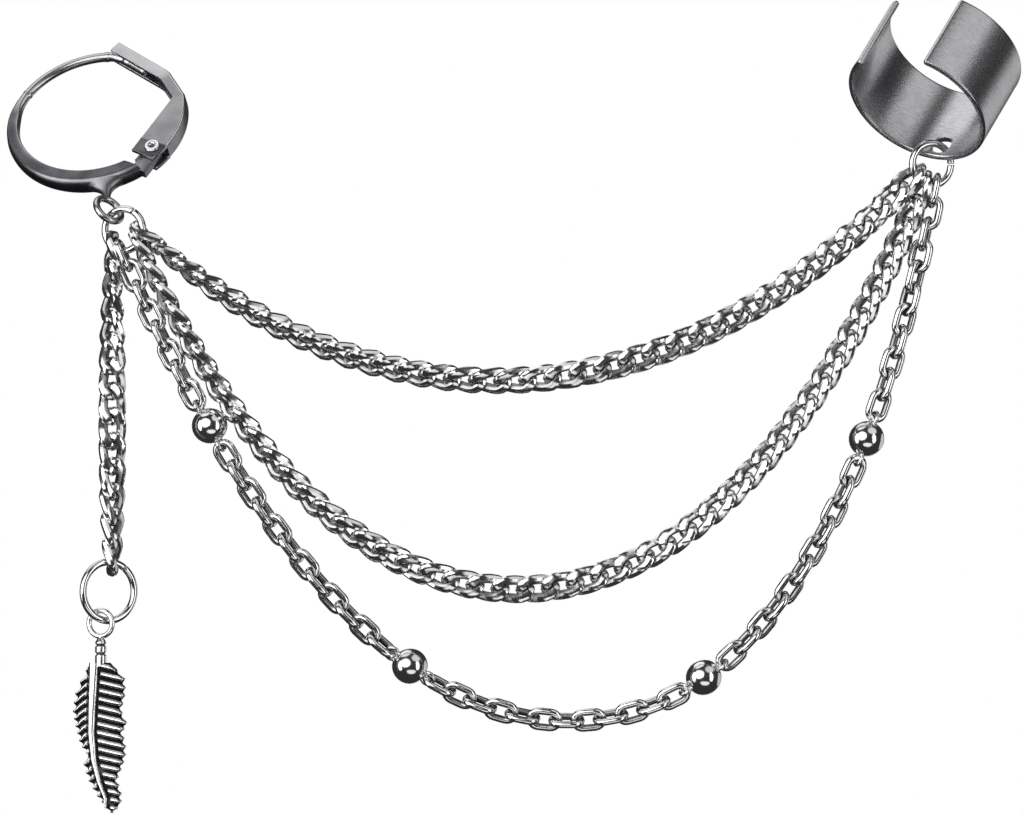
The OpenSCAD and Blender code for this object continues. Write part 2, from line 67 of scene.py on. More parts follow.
def polar(r, degrees):
    """Points of a plane at radius r and an angle: r times the cosine and sine."""
    a = np.radians(degrees)
    return stacked(r * np.cos(a), r * np.sin(a))


def ease(t):
    """Smooth step 3t^2 - 2t^3 of t held between 0 and 1."""
    t = np.clip(t, 0, 1)
    return t * t * (3 - 2 * t)


def ramp(value, start, end):
    """The smooth step of a value between two marks."""
    return ease((value - start) / (end - start))


def raised(flat, z):
    """Points of a plane with their height added."""
    return np.concatenate([flat, np.broadcast_to(z, flat.shape[:-1] + (1,))], -1)


def aimed(p, lean, rise):
    """Turns points of a piece made about Z: Z goes to the far side, (x, z, -y), then the lean turns
    about the upright Z and the rise turns in the viewer's plane."""
    lean, rise = np.radians(lean), np.radians(rise)
    x, y, z = p[..., 0], p[..., 2], -p[..., 1]
    x, y = x * np.cos(lean) + y * np.sin(lean), y * np.cos(lean) - x * np.sin(lean)
    return stacked(x * np.cos(rise) - z * np.sin(rise), y, x * np.sin(rise) + z * np.cos(rise))


def shell(grid, loop=False):
    """Closed surface over a grid of points [ring, place on the ring, xyz]. Quads join each ring to the
    next, and either the last ring to the first or one flat face over each end. The sum of the
    triangles' products a . (b x c) is six times the volume, and where it is below zero all faces turn."""
    n, m = grid.shape[:2]
    k = np.arange(m)
    ring = np.arange(n if loop else n - 1)[:, None] * m
    far, after = (ring + m) % (n * m), (k + 1) % m
    sides = stacked(ring + k, ring + after, far + after, far + k).reshape(-1, 4)
    p, faces = grid.reshape(-1, 3), [sides] if loop else [sides, np.stack([k[::-1], (n - 1) * m + k])]
    fans = [stacked(f[:, :1], f[:, 1:-1], f[:, 2:]).reshape(-1, 3) for f in faces]
    a, b, c = np.moveaxis(p[np.concatenate(fans)], 1, 0)
    return p, faces if np.sum(a * np.cross(b, c)) > 0 else [f[:, ::-1] for f in faces]


def in_scene(name, data):
    """New object of a mesh, light or camera, linked to the scene."""
    obj = bpy.data.objects.new(name, data)
    bpy.context.scene.collection.objects.link(obj)
    return obj


def piece(name, shells, material, body, stands_for, sharp=38, masks=()):
    """One object from closed shells. Each mask gives its name and one number a point, which the material
    reads. Points that fall together are joined, and the shading is smooth except where two faces meet
    at more than the sharp angle."""
    points, faces, base = [], [], 0
    for p, groups in shells:
        faces += [f for g in groups for f in (g + base).tolist()]
        points.append(p)
        base += len(p)
    data = bpy.data.meshes.new(name)
    data.from_pydata((np.vstack(points) * MM).tolist(), [], faces)
    for mask, values in masks:
        data.attributes.new(mask, "FLOAT", "POINT").data.foreach_set("value", np.ravel(values))
    work = bmesh.new()
    work.from_mesh(data)
    bmesh.ops.remove_doubles(work, verts=work.verts, dist=WELD)
    work.to_mesh(data)
    work.free()
    data.shade_smooth()
    data.set_sharp_from_angle(angle=np.radians(sharp))
    data.materials.append(material)
    obj = in_scene(name, data)
    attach(obj, body)
    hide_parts(*stands_for)


def tube(path, out, aside, profile, loop=False):
    """Surface of a profile carried along a path: path + profile x times out + profile y times aside."""
    p = np.broadcast_to(profile, (len(path),) + profile.shape[-2:])
    return shell(path[:, None] + p[..., :1] * out[:, None] + p[..., 1:] * aside[:, None], loop)


def circle(r, sides):
    """Points round a circle of radius r."""
    return polar(r, np.arange(sides) * 360 / sides)


def wire_ring(centre, r, right, up, wire_r, sides, step=5):
    """Round wire carried round a circle that two directions span, with a ring at every so many degrees."""
    a = np.radians(np.arange(0, 360, step))[:, None]
    out = np.cos(a) * right + np.sin(a) * up
    axis = np.broadcast_to(np.cross(right, up), out.shape)
    return tube(centre + r * out, out, axis, circle(wire_r, sides), True)


def plate(outline, half, edge):
    """Flat plate of an outline in x and y: rings at six heights, and those next to its two faces are
    drawn in along the outline's normals, by the edge at most."""
    along = unit(np.roll(outline, -1, 0) - np.roll(outline, 1, 0))
    normal = stacked(along[:, 1], -along[:, 0])
    area = np.sum(outline[:, 0] * np.roll(outline[:, 1], -1) - outline[:, 1] * np.roll(outline[:, 0], -1))
    inset = np.array([edge, 0.3 * edge, 0, 0, 0.3 * edge, edge]) * np.sign(area)
    height = np.array([-half, -half + 0.3 * edge, -half + edge, half - edge, half - 0.3 * edge, half])
    rings = outline[None] - inset[:, None, None] * normal[None]
    return shell(raised(rings, height[:, None, None]))


# Noises of the metals, each with its scale and detail: the stains, the fine unevenness, the scratches.
CLOUD_NOISE, FINE_NOISE, SCRATCH_NOISE = (700, 4), (5200, 3), (1500, 2)
SCRATCH_STRETCH, SCRATCH_TURN = (1, 1, 9), (0.5, 0.8, 0.2)
CLOUD_FROM, CLOUD_GAIN, STAIN_ROUGHNESS, BUMP_HEIGHT, GRAIN_DEPTH = 0.42, 3, 0.25, 0.02, 2


def metal_wear_and_shade():
    """Node group of every metal here. Colour runs from the metal to its dark tarnish-and-shade colour with
    a cloudy noise of stains plus the mask of patina and painted shade. Roughness is the given value spread
    by a fine noise, and the same noise with thin scratches is the height of the bump."""
    g = bpy.data.node_groups.new("metal_wear_and_shade", "ShaderNodeTree")
    for name, value in (("Metal", (0.5, 0.5, 0.5, 1)), ("TarnishAndShade", (0.05, 0.05, 0.05, 1)), ("PatinaAndShade", 0),
                        ("Cloud", 0.2), ("Roughness", 0.2), ("Spread", 0.1), ("Depth", 0.1), ("Grain", 0)):
        kind = "NodeSocketColor" if isinstance(value, tuple) else "NodeSocketFloat"
        g.interface.new_socket(name, in_out="INPUT", socket_type=kind).default_value = value
    for name, kind in (("Colour", "Color"), ("Roughness", "Float"), ("Normal", "Vector")):
        g.interface.new_socket(name, in_out="OUTPUT", socket_type="NodeSocket" + kind)
    new, join = g.nodes.new, g.links.new
    given, put = new("NodeGroupInput"), new("NodeGroupOutput")
    place = new("ShaderNodeTexCoord").outputs["Object"]
    cloud, fine, scratch = (new("ShaderNodeTexNoise") for _ in range(3))
    stretch = new("ShaderNodeMapping")
    stretch.inputs["Scale"].default_value = SCRATCH_STRETCH
    stretch.inputs["Rotation"].default_value = SCRATCH_TURN
    for n, size in ((cloud, CLOUD_NOISE), (fine, FINE_NOISE), (scratch, SCRATCH_NOISE)):
        n.inputs["Scale"].default_value, n.inputs["Detail"].default_value = size
    for n in (cloud, fine, stretch):
        join(place, n.inputs["Vector"])
    join(stretch.outputs["Vector"], scratch.inputs["Vector"])

    def maths(kind, a, b, hold=False):
        n = new("ShaderNodeMath")
        n.operation, n.use_clamp = kind, hold
        for socket, value in zip(n.inputs, (a, b)):
            if isinstance(value, (int, float)):
                socket.default_value = value
            else:
                join(value, socket)
        return n.outputs[0]

    blotch = maths("MULTIPLY", maths("SUBTRACT", cloud.outputs[0], CLOUD_FROM), given.outputs["Cloud"])
    stain = maths("ADD", maths("MULTIPLY", blotch, CLOUD_GAIN), given.outputs["Grain"])
    # The mask of patina and painted shade is added to the stains, so it darkens the colour and roughens
    # it.
    share = maths("ADD", stain, given.outputs["PatinaAndShade"], True)
    mix = new("ShaderNodeMix")
    mix.data_type = "RGBA"
    join(share, mix.inputs["Factor"])
    join(given.outputs["Metal"], mix.inputs["A"])
    join(given.outputs["TarnishAndShade"], mix.inputs["B"])
    join(mix.outputs["Result"], put.inputs["Colour"])
    spread = maths("MULTIPLY", maths("SUBTRACT", fine.outputs[0], 0.5), given.outputs["Spread"])
    dull_and_shade = maths("MULTIPLY", share, STAIN_ROUGHNESS)
    rough = maths("ADD", given.outputs["Roughness"], spread)
    join(maths("ADD", rough, dull_and_shade, True), put.inputs["Roughness"])
    bump = new("ShaderNodeBump")
    bump.inputs["Distance"].default_value = BUMP_HEIGHT * MM
    grooves = maths("MULTIPLY", given.outputs["Grain"], GRAIN_DEPTH)
    lines = maths("SUBTRACT", scratch.outputs[0], grooves)
    join(maths("ADD", fine.outputs[0], lines), bump.inputs["Height"])
    join(given.outputs["Depth"], bump.inputs["Strength"])
    join(bump.outputs[0], put.inputs["Normal"])
    return g


WEAR_AND_SHADE = metal_wear_and_shade()


def metal(name, colour, tarnish_and_shade, roughness, cloud=0.2, spread=0.1, depth=0.1, patina_and_shade=None):
    """Material of one finish: the wear-and-shade group gives a plain metal shader its colour, roughness
    and normal, and the named attribute, where there is one, is its mask of patina and painted shade."""
    m = bpy.data.materials.new(name)
    m.use_nodes = True
    tree = m.node_tree
    shader = tree.nodes["Principled BSDF"]
    shader.inputs["Metallic"].default_value = 1
    wear_and_shade = tree.nodes.new("ShaderNodeGroup")
    wear_and_shade.node_tree = WEAR_AND_SHADE
    values = (("Metal", (*colour, 1)), ("TarnishAndShade", (*tarnish_and_shade, 1)), ("Cloud", cloud),
              ("Roughness", roughness), ("Spread", spread), ("Depth", depth))
    for socket, value in values:
        wear_and_shade.inputs[socket].default_value = value
    if patina_and_shade:
        mask = tree.nodes.new("ShaderNodeAttribute")
        mask.attribute_name = patina_and_shade
        tree.links.new(mask.outputs["Fac"], wear_and_shade.inputs["PatinaAndShade"])
    for found, socket in (("Colour", "Base Color"), ("Roughness", "Roughness"), ("Normal", "Normal")):
        tree.links.new(wear_and_shade.outputs[found], shader.inputs[socket])
    return m


def from_hoop(p):
    """Points of the hoop's own frame (down, left, away) in the row frame."""
    seat = aimed(np.append(polar(EAR_R, SEAT_AT), 0), HOOP_LEAN, HOOP_RISE)
    return aimed(p, HOOP_LEAN, HOOP_RISE) - seat


def placed(shells, place):
    """The same shells with their points moved by a placing function."""
    return [(place(p), f) for p, f in shells]


# The catch's straight line gives the place where the ear wire leaves the circle.
NOTCH_AT, NOTCH_IN, BEND_AT, BEND_OUT, TIP_AT, TIP_OUT = -86, 1.05, -111, -0.3, -155, 0.62
SHEET, SIDE_GAP, CATCH_DEPTH, EAR_BEND_R, EAR_END = 0.34, 0.06, 1.1, 3, -0.65
catch_a, catch_b = polar(HOOP_R + BEND_OUT, BEND_AT), polar(HOOP_R + TIP_OUT, TIP_AT)
catch_dir = unit(catch_a - catch_b)
catch_in = np.array([-catch_dir[1], catch_dir[0]])
line_r = -catch_b @ catch_in - SHEET - SIDE_GAP - EAR_WIRE_R
line_at = 360 + np.degrees(np.arctan2(-catch_in[1], -catch_in[0]))
arc_to = line_at - np.degrees(np.arccos((line_r - EAR_BEND_R) / (EAR_R - EAR_BEND_R)))
straight_from = -np.sqrt((EAR_R - EAR_BEND_R) ** 2 - (line_r - EAR_BEND_R) ** 2)
rivet_c = polar(RIVET_R, RIVET_AT)
# The band's section is a box with eased corners, and from a share of its length on it turns round.
BOX_POWER, ROUND_POWER, ROUND_FROM, HINGE_END_AT = 7, 2, 0.84, -16
COLLAR_H, COLLAR_L, DOME_TO = 0.1, 0.2, 88


def hoop_band(sides=44, stations=130):
    """Rings of the band. Round each ring runs a box with eased corners, the curve |u|^p + |v|^p = 1, with
    u from the inner circle to the crowned outside and v across the width. The angle runs from the
    slanted end by the hinge, and the last sixth turns into the ear wire's circle."""
    s = np.linspace(0, 1, stations)[:, None]
    a = np.radians(np.arange(sides) * 360 / sides)[None]
    wire = ramp(s, ROUND_FROM, 1)
    power = 2 / (BOX_POWER + (ROUND_POWER - BOX_POWER) * wire)
    u = np.sign(np.cos(a)) * np.abs(np.cos(a)) ** power
    v = np.sign(np.sin(a)) * np.abs(np.sin(a)) ** power
    near = np.radians(BODY_FROM * s + HINGE_END_AT * (1 - s))
    back = HOOP_R * np.cos(np.radians(BODY_FROM))
    half = EAR_WIRE_R + (FRONT_W / 2 - EAR_WIRE_R) * (HOOP_R * np.cos(near) - back) / (HOOP_R - back)
    z = half * v
    inner = np.sqrt(INNER_R ** 2 - (INNER_SHIFT * np.sin(near)) ** 2) - INNER_SHIFT * np.cos(near)
    outer = HOOP_R - CROWN_R + np.sqrt(CROWN_R ** 2 - z ** 2)
    r = inner + (outer - inner) * (1 + u) / 2
    end_reach = polar(1, BODY_END_AT) @ rivet_c + BODY_END_OUT
    start = BODY_END_AT - np.degrees(np.arccos(end_reach / r))
    angle = np.radians(start + s * (BODY_FROM - start))
    r = r + wire * (EAR_R + EAR_WIRE_R * np.cos(a) - r)
    z = z + wire * (EAR_WIRE_R * np.sin(a) - z)
    return stacked(r * np.cos(angle), r * np.sin(angle), z)


def ear_wire(sides=44):
    """Rings of the ear wire: the hoop's circle, a tighter bend, a straight run and a round end, with a
    slight collar, as exp(-d^4), at its start and at each end of the bend."""
    turn = np.linspace(BODY_FROM, arc_to, 90)[1:]
    bend = np.linspace(arc_to, line_at, 24)[1:]
    run = np.linspace(straight_from, EAR_END, 14)[1:]
    tip = np.sin(np.radians(np.linspace(0, DOME_TO, 9)))[1:]
    out_at = np.concatenate([turn, bend, np.full(len(run) + len(tip), line_at)])
    along = np.concatenate([run, EAR_END + EAR_WIRE_R * tip])[:, None]
    line = polar(line_r, line_at) + along * polar(1, line_at + 90)
    centre = polar(EAR_R - EAR_BEND_R, arc_to)
    path = np.concatenate([polar(EAR_R, turn), centre + polar(EAR_BEND_R, bend), line])
    far = np.concatenate([[0], np.cumsum(np.linalg.norm(np.diff(path, axis=0), axis=1))])
    collars = far[[0, len(turn) - 1, len(turn) + len(bend) - 1]]
    swell = COLLAR_H * np.exp(-((far[:, None] - collars) / COLLAR_L) ** 4).sum(1)
    shrink = np.ones(len(path))
    shrink[-len(tip):] = np.sqrt(1 - tip ** 2)
    r = (EAR_WIRE_R * (1 + swell) * shrink)[:, None, None]
    out = polar(1, out_at)[:, None]
    ring = circle(1, sides)[None]
    return raised(path[:, None] + r * ring[..., :1] * out, r * ring[..., 1:])


NECK_AT, NECK_L, EYE_D, EYE_WIRE_D, EYE_TURN, EYE_SWELL = 5, 1.5, 2.9, 0.5, 45, 0.05
NECK_FOOT_R, NECK_FILLET, NECK_SINK, NECK_FALL, FILLET_FALL = 0.85, 1.1, 0.35, 1.7, 4
NECK_IN_EYE, PLATE_EDGE = 0.1, 0.05
EYE_R = (EYE_D - EYE_WIRE_D) / 2
EYE_OUT = HOOP_R + NECK_L + EYE_R


def turned_z(p, degrees):
    """Points turned about Z."""
    c, s = np.cos(np.radians(degrees)), np.sin(np.radians(degrees))
    return stacked(p[..., 0] * c - p[..., 1] * s, p[..., 0] * s + p[..., 1] * c, p[..., 2])


def neck(sides=36):
    """Rings round the line from the band to the eye. The radius falls as a power of 1 - t to the eye's
    wire, and along the band a fillet as a higher power spreads the foot."""
    t = np.linspace(0, 1, 24)[:, None]
    r = EYE_WIRE_D / 2 + (NECK_FOOT_R - EYE_WIRE_D / 2) * (1 - t) ** NECK_FALL
    x = HOOP_R - NECK_SINK + (NECK_L + NECK_SINK + NECK_IN_EYE) * t
    ring = circle(1, sides)
    spread = r + NECK_FILLET * (1 - t) ** FILLET_FALL
    return shell(stacked(x, spread * ring[:, 0], r * ring[:, 1]))


def eye():
    """Round wire carried round a circle that is turned about the neck."""
    tilt = np.radians(-EYE_TURN)
    out, left = np.array([1, 0, 0]), np.array([0, np.cos(tilt), np.sin(tilt)])
    return wire_ring(EYE_OUT * out, EYE_R, out, left, EYE_WIRE_D / 2 + EYE_SWELL, 20)


def lug():
    """Plate as thick as the ear wire, round about the rivet and straight back into the band."""
    along, across = polar(1, BODY_END_AT), polar(1, BODY_END_AT + 90)
    nose = rivet_c + polar(LUG_R, BODY_END_AT + np.linspace(90, 270, 25))
    foot = rivet_c + LUG_L * along + np.array([[-1], [1]]) * LUG_R * across
    return plate(np.concatenate([nose, foot]), EAR_WIRE_R, PLATE_EDGE)


# How dark the flats are, a dark tone with painted shade, and how much painted highlights take off at most
# and on the brighter places.
DULL_AND_SHADE, HIGHLIGHT_LIFT, WIRE_HIGHLIGHT, BACK_HIGHLIGHT, OUTER_EDGE_HIGHLIGHT = 0.88, 0.85, 0.75, 0.55, 0.3
EDGE_POWER, EDGE_FROM, INNER_SIDE, BACK_PART = 0.29, 0.86, (0.05, 0.35), (0.35, 0.65)
LUG_DULL_AND_SHADE, NECK_DULL_AND_SHADE, EYE_DULL_AND_SHADE = 0.8, 0.8, 0.4


def band_shade_and_highlight(sides, stations, wire_rings):
    """How dark each point of the band and the wire is: a dark tone with painted shade. The band's two
    inner edges, where |uv| nears 1, get painted highlights, and so do the inner half of its back part and
    all of the round wire."""
    a = np.radians(np.arange(sides) * 360 / sides)[None]
    s = np.linspace(0, 1, stations)[:, None]
    corner = ramp(np.abs(np.sin(2 * a)) ** EDGE_POWER, EDGE_FROM, 1)
    edge = corner * np.where(np.cos(a) < 0, 1, OUTER_EDGE_HIGHLIGHT)
    inner = BACK_HIGHLIGHT * ramp(-np.cos(a), *INNER_SIDE) * ramp(s, *BACK_PART)
    wire = WIRE_HIGHLIGHT * ramp(s, ROUND_FROM, 1)
    highlight = np.maximum(np.maximum(edge, inner), wire)
    highlight = np.concatenate([highlight, np.full((wire_rings, sides), WIRE_HIGHLIGHT)])
    return DULL_AND_SHADE * (1 - HIGHLIGHT_LIFT * highlight).ravel()


hoop_metal = metal("hoop_metal", (0.72, 0.72, 0.74), (0.05, 0.05, 0.06), 0.17, 0.1, 0.12, 0.12, "dull_and_shade")
band_rings, wire_rings = hoop_band(), ear_wire()
hoop_shells = [shell(np.concatenate([band_rings, wire_rings])), lug()]
hoop_shells += placed([neck(), eye()], lambda p: turned_z(p, NECK_AT))
# The hoop's mask is a dark tone with painted shade on the flats, lifted by painted highlights on the
# edges, the inner stripe, the wire and the eye.
hoop_dull_and_shade = [band_shade_and_highlight(band_rings.shape[1], len(band_rings), len(wire_rings))]
hoop_dull_and_shade += [np.full(len(shell_points), share * DULL_AND_SHADE) for (shell_points, _), share
              in zip(hoop_shells[1:], (LUG_DULL_AND_SHADE, NECK_DULL_AND_SHADE, EYE_DULL_AND_SHADE))]
piece("polished_hoop", placed(hoop_shells, from_hoop), hoop_metal, "earring", ["hoop_body"],
      masks=[("dull_and_shade", np.concatenate(hoop_dull_and_shade))])


# Lever. A strip of thin steel sheet folded to a channel: its two cheeks straddle the hoop's lug on the
# rivet, and its far end is the catch that snaps over the end of the ear wire.
CHEEK_LOW_AT, CHEEK_LOW_IN, CHEEK_END_AT, STRAP_FROM = -23.5, 2.15, -29, -42
LEVER_HALF = EAR_WIRE_R + SIDE_GAP + SHEET
FOLD_LEG, FOLD_EASE = 1.0, [0.24, 0.24, 0.08, 0.08, 0.06, 0.06, 0.08, 0.08]
web_from = (STRAP_FROM - CHEEK_END_AT) / (NOTCH_AT - CHEEK_END_AT)


def lever_edges(share):
    """Outer and inner edge of the lever at a share of its length: from 0 to 1 the outer edge follows the
    hoop's circle and the inner one a chord, from 1 to 2 both run to the bend, and to 3 to the tip."""
    chord_a, chord_b = polar(HOOP_R - CHEEK_LOW_IN, CHEEK_LOW_AT), polar(HOOP_R - NOTCH_IN, NOTCH_AT)
    depth, notch = CATCH_DEPTH * catch_in, polar(HOOP_R, NOTCH_AT)

    def through(*stops):
        return stacked(*(np.interp(share, range(len(stops)), line) for line in np.transpose(stops)))

    on_arc = polar(HOOP_R, CHEEK_END_AT + (NOTCH_AT - CHEEK_END_AT) * np.clip(share, 0, 1))
    outer = np.where((share <= 1)[:, None], on_arc, through(notch, notch, catch_a, catch_b))
    return outer, through(chord_a, chord_b, catch_a + depth, catch_b + depth)


def rounded(corners, r, steps=5):
    """Closed outline with eased corners: each corner b becomes (1-t)^2 a + 2t(1-t) b + t^2 c, where a
    and c lie at distance r from it on its two sides."""
    b = np.asarray(corners, float)
    r = np.broadcast_to(r, len(b))[:, None]
    a = b + r * unit(np.roll(b, 1, 0) - b)
    c = b + r * unit(np.roll(b, -1, 0) - b)
    t = np.linspace(0, 1, steps + 1)[None, :, None]
    curve = (1 - t) ** 2 * a[:, None] + 2 * t * (1 - t) * b[:, None] + t * t * c[:, None]
    return curve.reshape(-1, 2)


def channel(share):
    """The folded sheet: a U of even wall carried along the outer edge. The ends of its legs move with
    the distance between the two edges."""
    outer, inner = lever_edges(share)
    reach = np.linalg.norm(inner - outer, axis=1)
    toward = unit(inner - outer)
    h, w, leg = LEVER_HALF, LEVER_HALF - SHEET, FOLD_LEG
    corners = [(0, -h), (0, h), (leg, h), (leg, w), (SHEET, w), (SHEET, -w), (leg, -w), (leg, -h)]
    u = rounded(corners, FOLD_EASE)
    q = u[None, :, 0] + (u[None, :, 0] > leg / 2) * (reach[:, None] - leg)
    return shell(raised(outer[:, None] + q[..., None] * toward[:, None], u[None, :, 1:]))


def cheek(side):
    """One cheek beside the lug: a plate between the two edges from the front to the start of the web."""
    outer, inner = lever_edges(np.linspace(0, web_from, 12))
    points, faces = plate(np.concatenate([outer, inner[::-1]]), SHEET / 2, PLATE_EDGE)
    return points + np.array([0, 0, side * (LEVER_HALF - SHEET / 2)]), faces


# The stations stop just short of both bends. The sheet's flats are dark, a dark tone with painted shade,
# and painted highlights run along its folds, its edges and its catch. Each row of numbers follows the
# corners of the fold or the plate.
along_lever = np.concatenate([np.linspace(web_from, 0.97, 30), np.linspace(1.02, 1.95, 14),
                              np.linspace(2.05, 3, 16)])
# Painted highlights: the middle of each fold's bend, the plate edges and the catch are lighter.
FOLD_HIGHLIGHT = np.outer([1, 1, 1, 1, 0, 0, 1, 1], [0.3, 0.8, 1, 1, 0.8, 0.3]).ravel()
PLATE_HIGHLIGHT, CATCH_HIGHLIGHT, CATCH_PART, LEVER_HIGHLIGHT_LIFT = [0, 1, 0.5, 0.5, 1, 0], 0.6, (1.6, 2.1), 0.95
lever_metal = metal("lever_metal", (0.78, 0.78, 0.8), (0.05, 0.05, 0.06), 0.17, 0.1, 0.12, 0.12, "dull_and_shade")
lever_shells = placed([channel(along_lever), cheek(-1), cheek(1)], from_hoop)
catch_highlight = CATCH_HIGHLIGHT * ramp(along_lever[:, None], *CATCH_PART)
cheek_highlight = np.repeat(PLATE_HIGHLIGHT, len(lever_shells[1][0]) // len(PLATE_HIGHLIGHT))
lever_highlight = np.concatenate([np.maximum(FOLD_HIGHLIGHT, catch_highlight).ravel(), cheek_highlight, cheek_highlight])
piece("folded_lever", lever_shells, lever_metal, "lever", ["hoop_lever"],
      masks=[("dull_and_shade", DULL_AND_SHADE * (1 - LEVER_HIGHLIGHT_LIFT * lever_highlight))])


# Rivet. A hollow rivet of bright steel through the lever's cheeks and the hoop's lug. Its two ends are
# rolled over into round heads, and the lever turns on it.
RIVET_BORE_R, RIVET_SHAFT_R, RIVET_HEAD_R, RIVET_HEAD_T, RIVET_GAP = 0.21, 0.34, 0.65, 0.18, 0.03
RIVET_EASE = [0.24, 0.12, 0.05, 0.01]


def lathe(profile, sides=48):
    """Ring of a closed profile (radius, height) carried round Z."""
    a = np.radians(np.arange(sides) * 360 / sides)[:, None]
    r, z = profile[:, 0], profile[:, 1]
    return shell(stacked(r * np.cos(a), r * np.sin(a), z), True)


head_z = LEVER_HALF + RIVET_GAP
head_top = head_z + RIVET_HEAD_T
rivet_side = [(RIVET_BORE_R, head_top), (RIVET_HEAD_R, head_top),
              (RIVET_HEAD_R, head_z), (RIVET_SHAFT_R, head_z)]
rivet_corners = [(r, -z) for r, z in rivet_side] + rivet_side[::-1]
rivet_profile = rounded(rivet_corners, RIVET_EASE + RIVET_EASE[::-1])
rivet_shell = placed([lathe(rivet_profile)], lambda p: from_hoop(p + np.append(rivet_c, 0)))
ring_metal = metal("ring_metal", (0.74, 0.74, 0.75), (0.10, 0.10, 0.11), 0.13, 0.2, 0.1, 0.1)
piece("rolled_rivet", rivet_shell, ring_metal, "earring", ["hinge_rivet"])


# Jump rings. Round steel wire closed by hand, so a hair's gap shows at the cut. One hangs in the hoop's
# eye and carries every chain, and the other hangs in the cuff.
RING_WIRE_R, RING_CUT, RING_EASE, LINK_GAP = 0.3, 0.1, 0.06, 0.2
HOOP_RING_R, HOOP_RING_TURN, HOOP_RING_HOLD, HOOP_RING_CUT_AT = 1.75, 24.5, 130, 60
CUFF_RING_R, CUFF_RING_TURN, CUFF_RING_HOLD, CUFF_RING_CUT_AT = 1.75, -22, 55, 0
CUFF_REACH, CUFF_DROP = 71, 7.8


def ring_dir(turn, degrees):
    """Direction from a ring's middle at an angle: cosine along the turned level line, sine upwards."""
    t, a = np.radians(turn), np.radians(degrees)
    return stacked(np.cos(t) * np.cos(a), -np.sin(t) * np.cos(a), np.sin(a))


def jump_ring(ring, cut_at):
    """Round wire carried round a circle from one side of the cut to the other, with eased ends. A ring is
    given as its middle, radius and turn."""
    centre, r, turn = ring
    half_cut = np.degrees(np.arcsin(RING_CUT / 2 / r))
    a = np.linspace(half_cut, 360 - half_cut, 97)
    ends = np.degrees(RING_EASE / r) * np.array([0, 0.3, 1])
    a = np.concatenate([a[0] + ends, a[1:-1], a[-1] - ends[::-1]])
    wire_r = np.full(len(a), RING_WIRE_R)
    wire_r[[0, -1]] -= RING_EASE
    wire_r[[1, -2]] -= RING_EASE / 3
    out = ring_dir(turn, a + cut_at)
    axis = np.broadcast_to([np.sin(np.radians(turn)), np.cos(np.radians(turn)), 0], out.shape)
    return tube(centre + r * out, out, axis, circle(1, 20)[None] * wire_r[:, None, None])


eye_c = from_hoop(np.append(polar(EYE_OUT, NECK_AT), 0))
ring_sag = EYE_R - EYE_WIRE_D / 2 - RING_WIRE_R - LINK_GAP
hoop_ring_c = eye_c - (HOOP_RING_R + ring_sag) * ring_dir(HOOP_RING_TURN, HOOP_RING_HOLD)
cuff_hole_c = np.array([CUFF_REACH, hoop_ring_c[1], -CUFF_DROP])
cuff_ring_c = cuff_hole_c - CUFF_RING_R * ring_dir(CUFF_RING_TURN, CUFF_RING_HOLD)
hoop_ring = hoop_ring_c, HOOP_RING_R, HOOP_RING_TURN
cuff_ring = cuff_ring_c, CUFF_RING_R, CUFF_RING_TURN
piece("hoop_ring_wire", [jump_ring(hoop_ring, HOOP_RING_CUT_AT)], ring_metal, "earring",
      ["hoop_jump_ring"])
piece("cuff_ring_wire", [jump_ring(cuff_ring, CUFF_RING_CUT_AT)], ring_metal, "earring",
      ["cuff_jump_ring"])


# Ear cuff. A wide strip of satin brushed steel rolled to an open ring, with rounded edges and one
# punched hole near its rim for the jump ring.
CUFF_R, CUFF_WALL, CUFF_W, CUFF_GAP, CUFF_GAP_MID = 5.975, 0.55, 7.5, 63, -46.5
CUFF_LEAN, CUFF_RISE, CUFF_HOLE_AT, CUFF_HOLE_R, CUFF_HOLE_IN = 56.4, 58.6, 142, 0.9, 1.3
CUFF_EDGE, END_THIN, HOLE_CELLS, HOLE_PATCH = 0.26, 0.2, 8, 1.15
# The rings of the hole's patch: how far each is from the square to the circle, and its depth in the wall.
HOLE_BLEND, HOLE_DEPTH = np.array([0, 0.35, 0.7, 0.93, 0.98, 1, 1]), np.array([1, 1, 1, 1, 0.93, 0.8, 0.4])
BRUSH_STRETCH, BRUSH_DETAIL, BRUSH_ROUGHNESS = (7, 90, 1), 5, 0.7
BRUSH_RANGE, BRUSH_DEPTH = (0.4, 0.75), 0.45


def cuff_surface(angle, across, depth):
    """Points of the rolled strip: the radius is the middle one plus the depth in the wall, and a point's
    height is its place across the strip."""
    r = CUFF_R + depth
    return stacked(r * np.cos(angle), r * np.sin(angle), across)


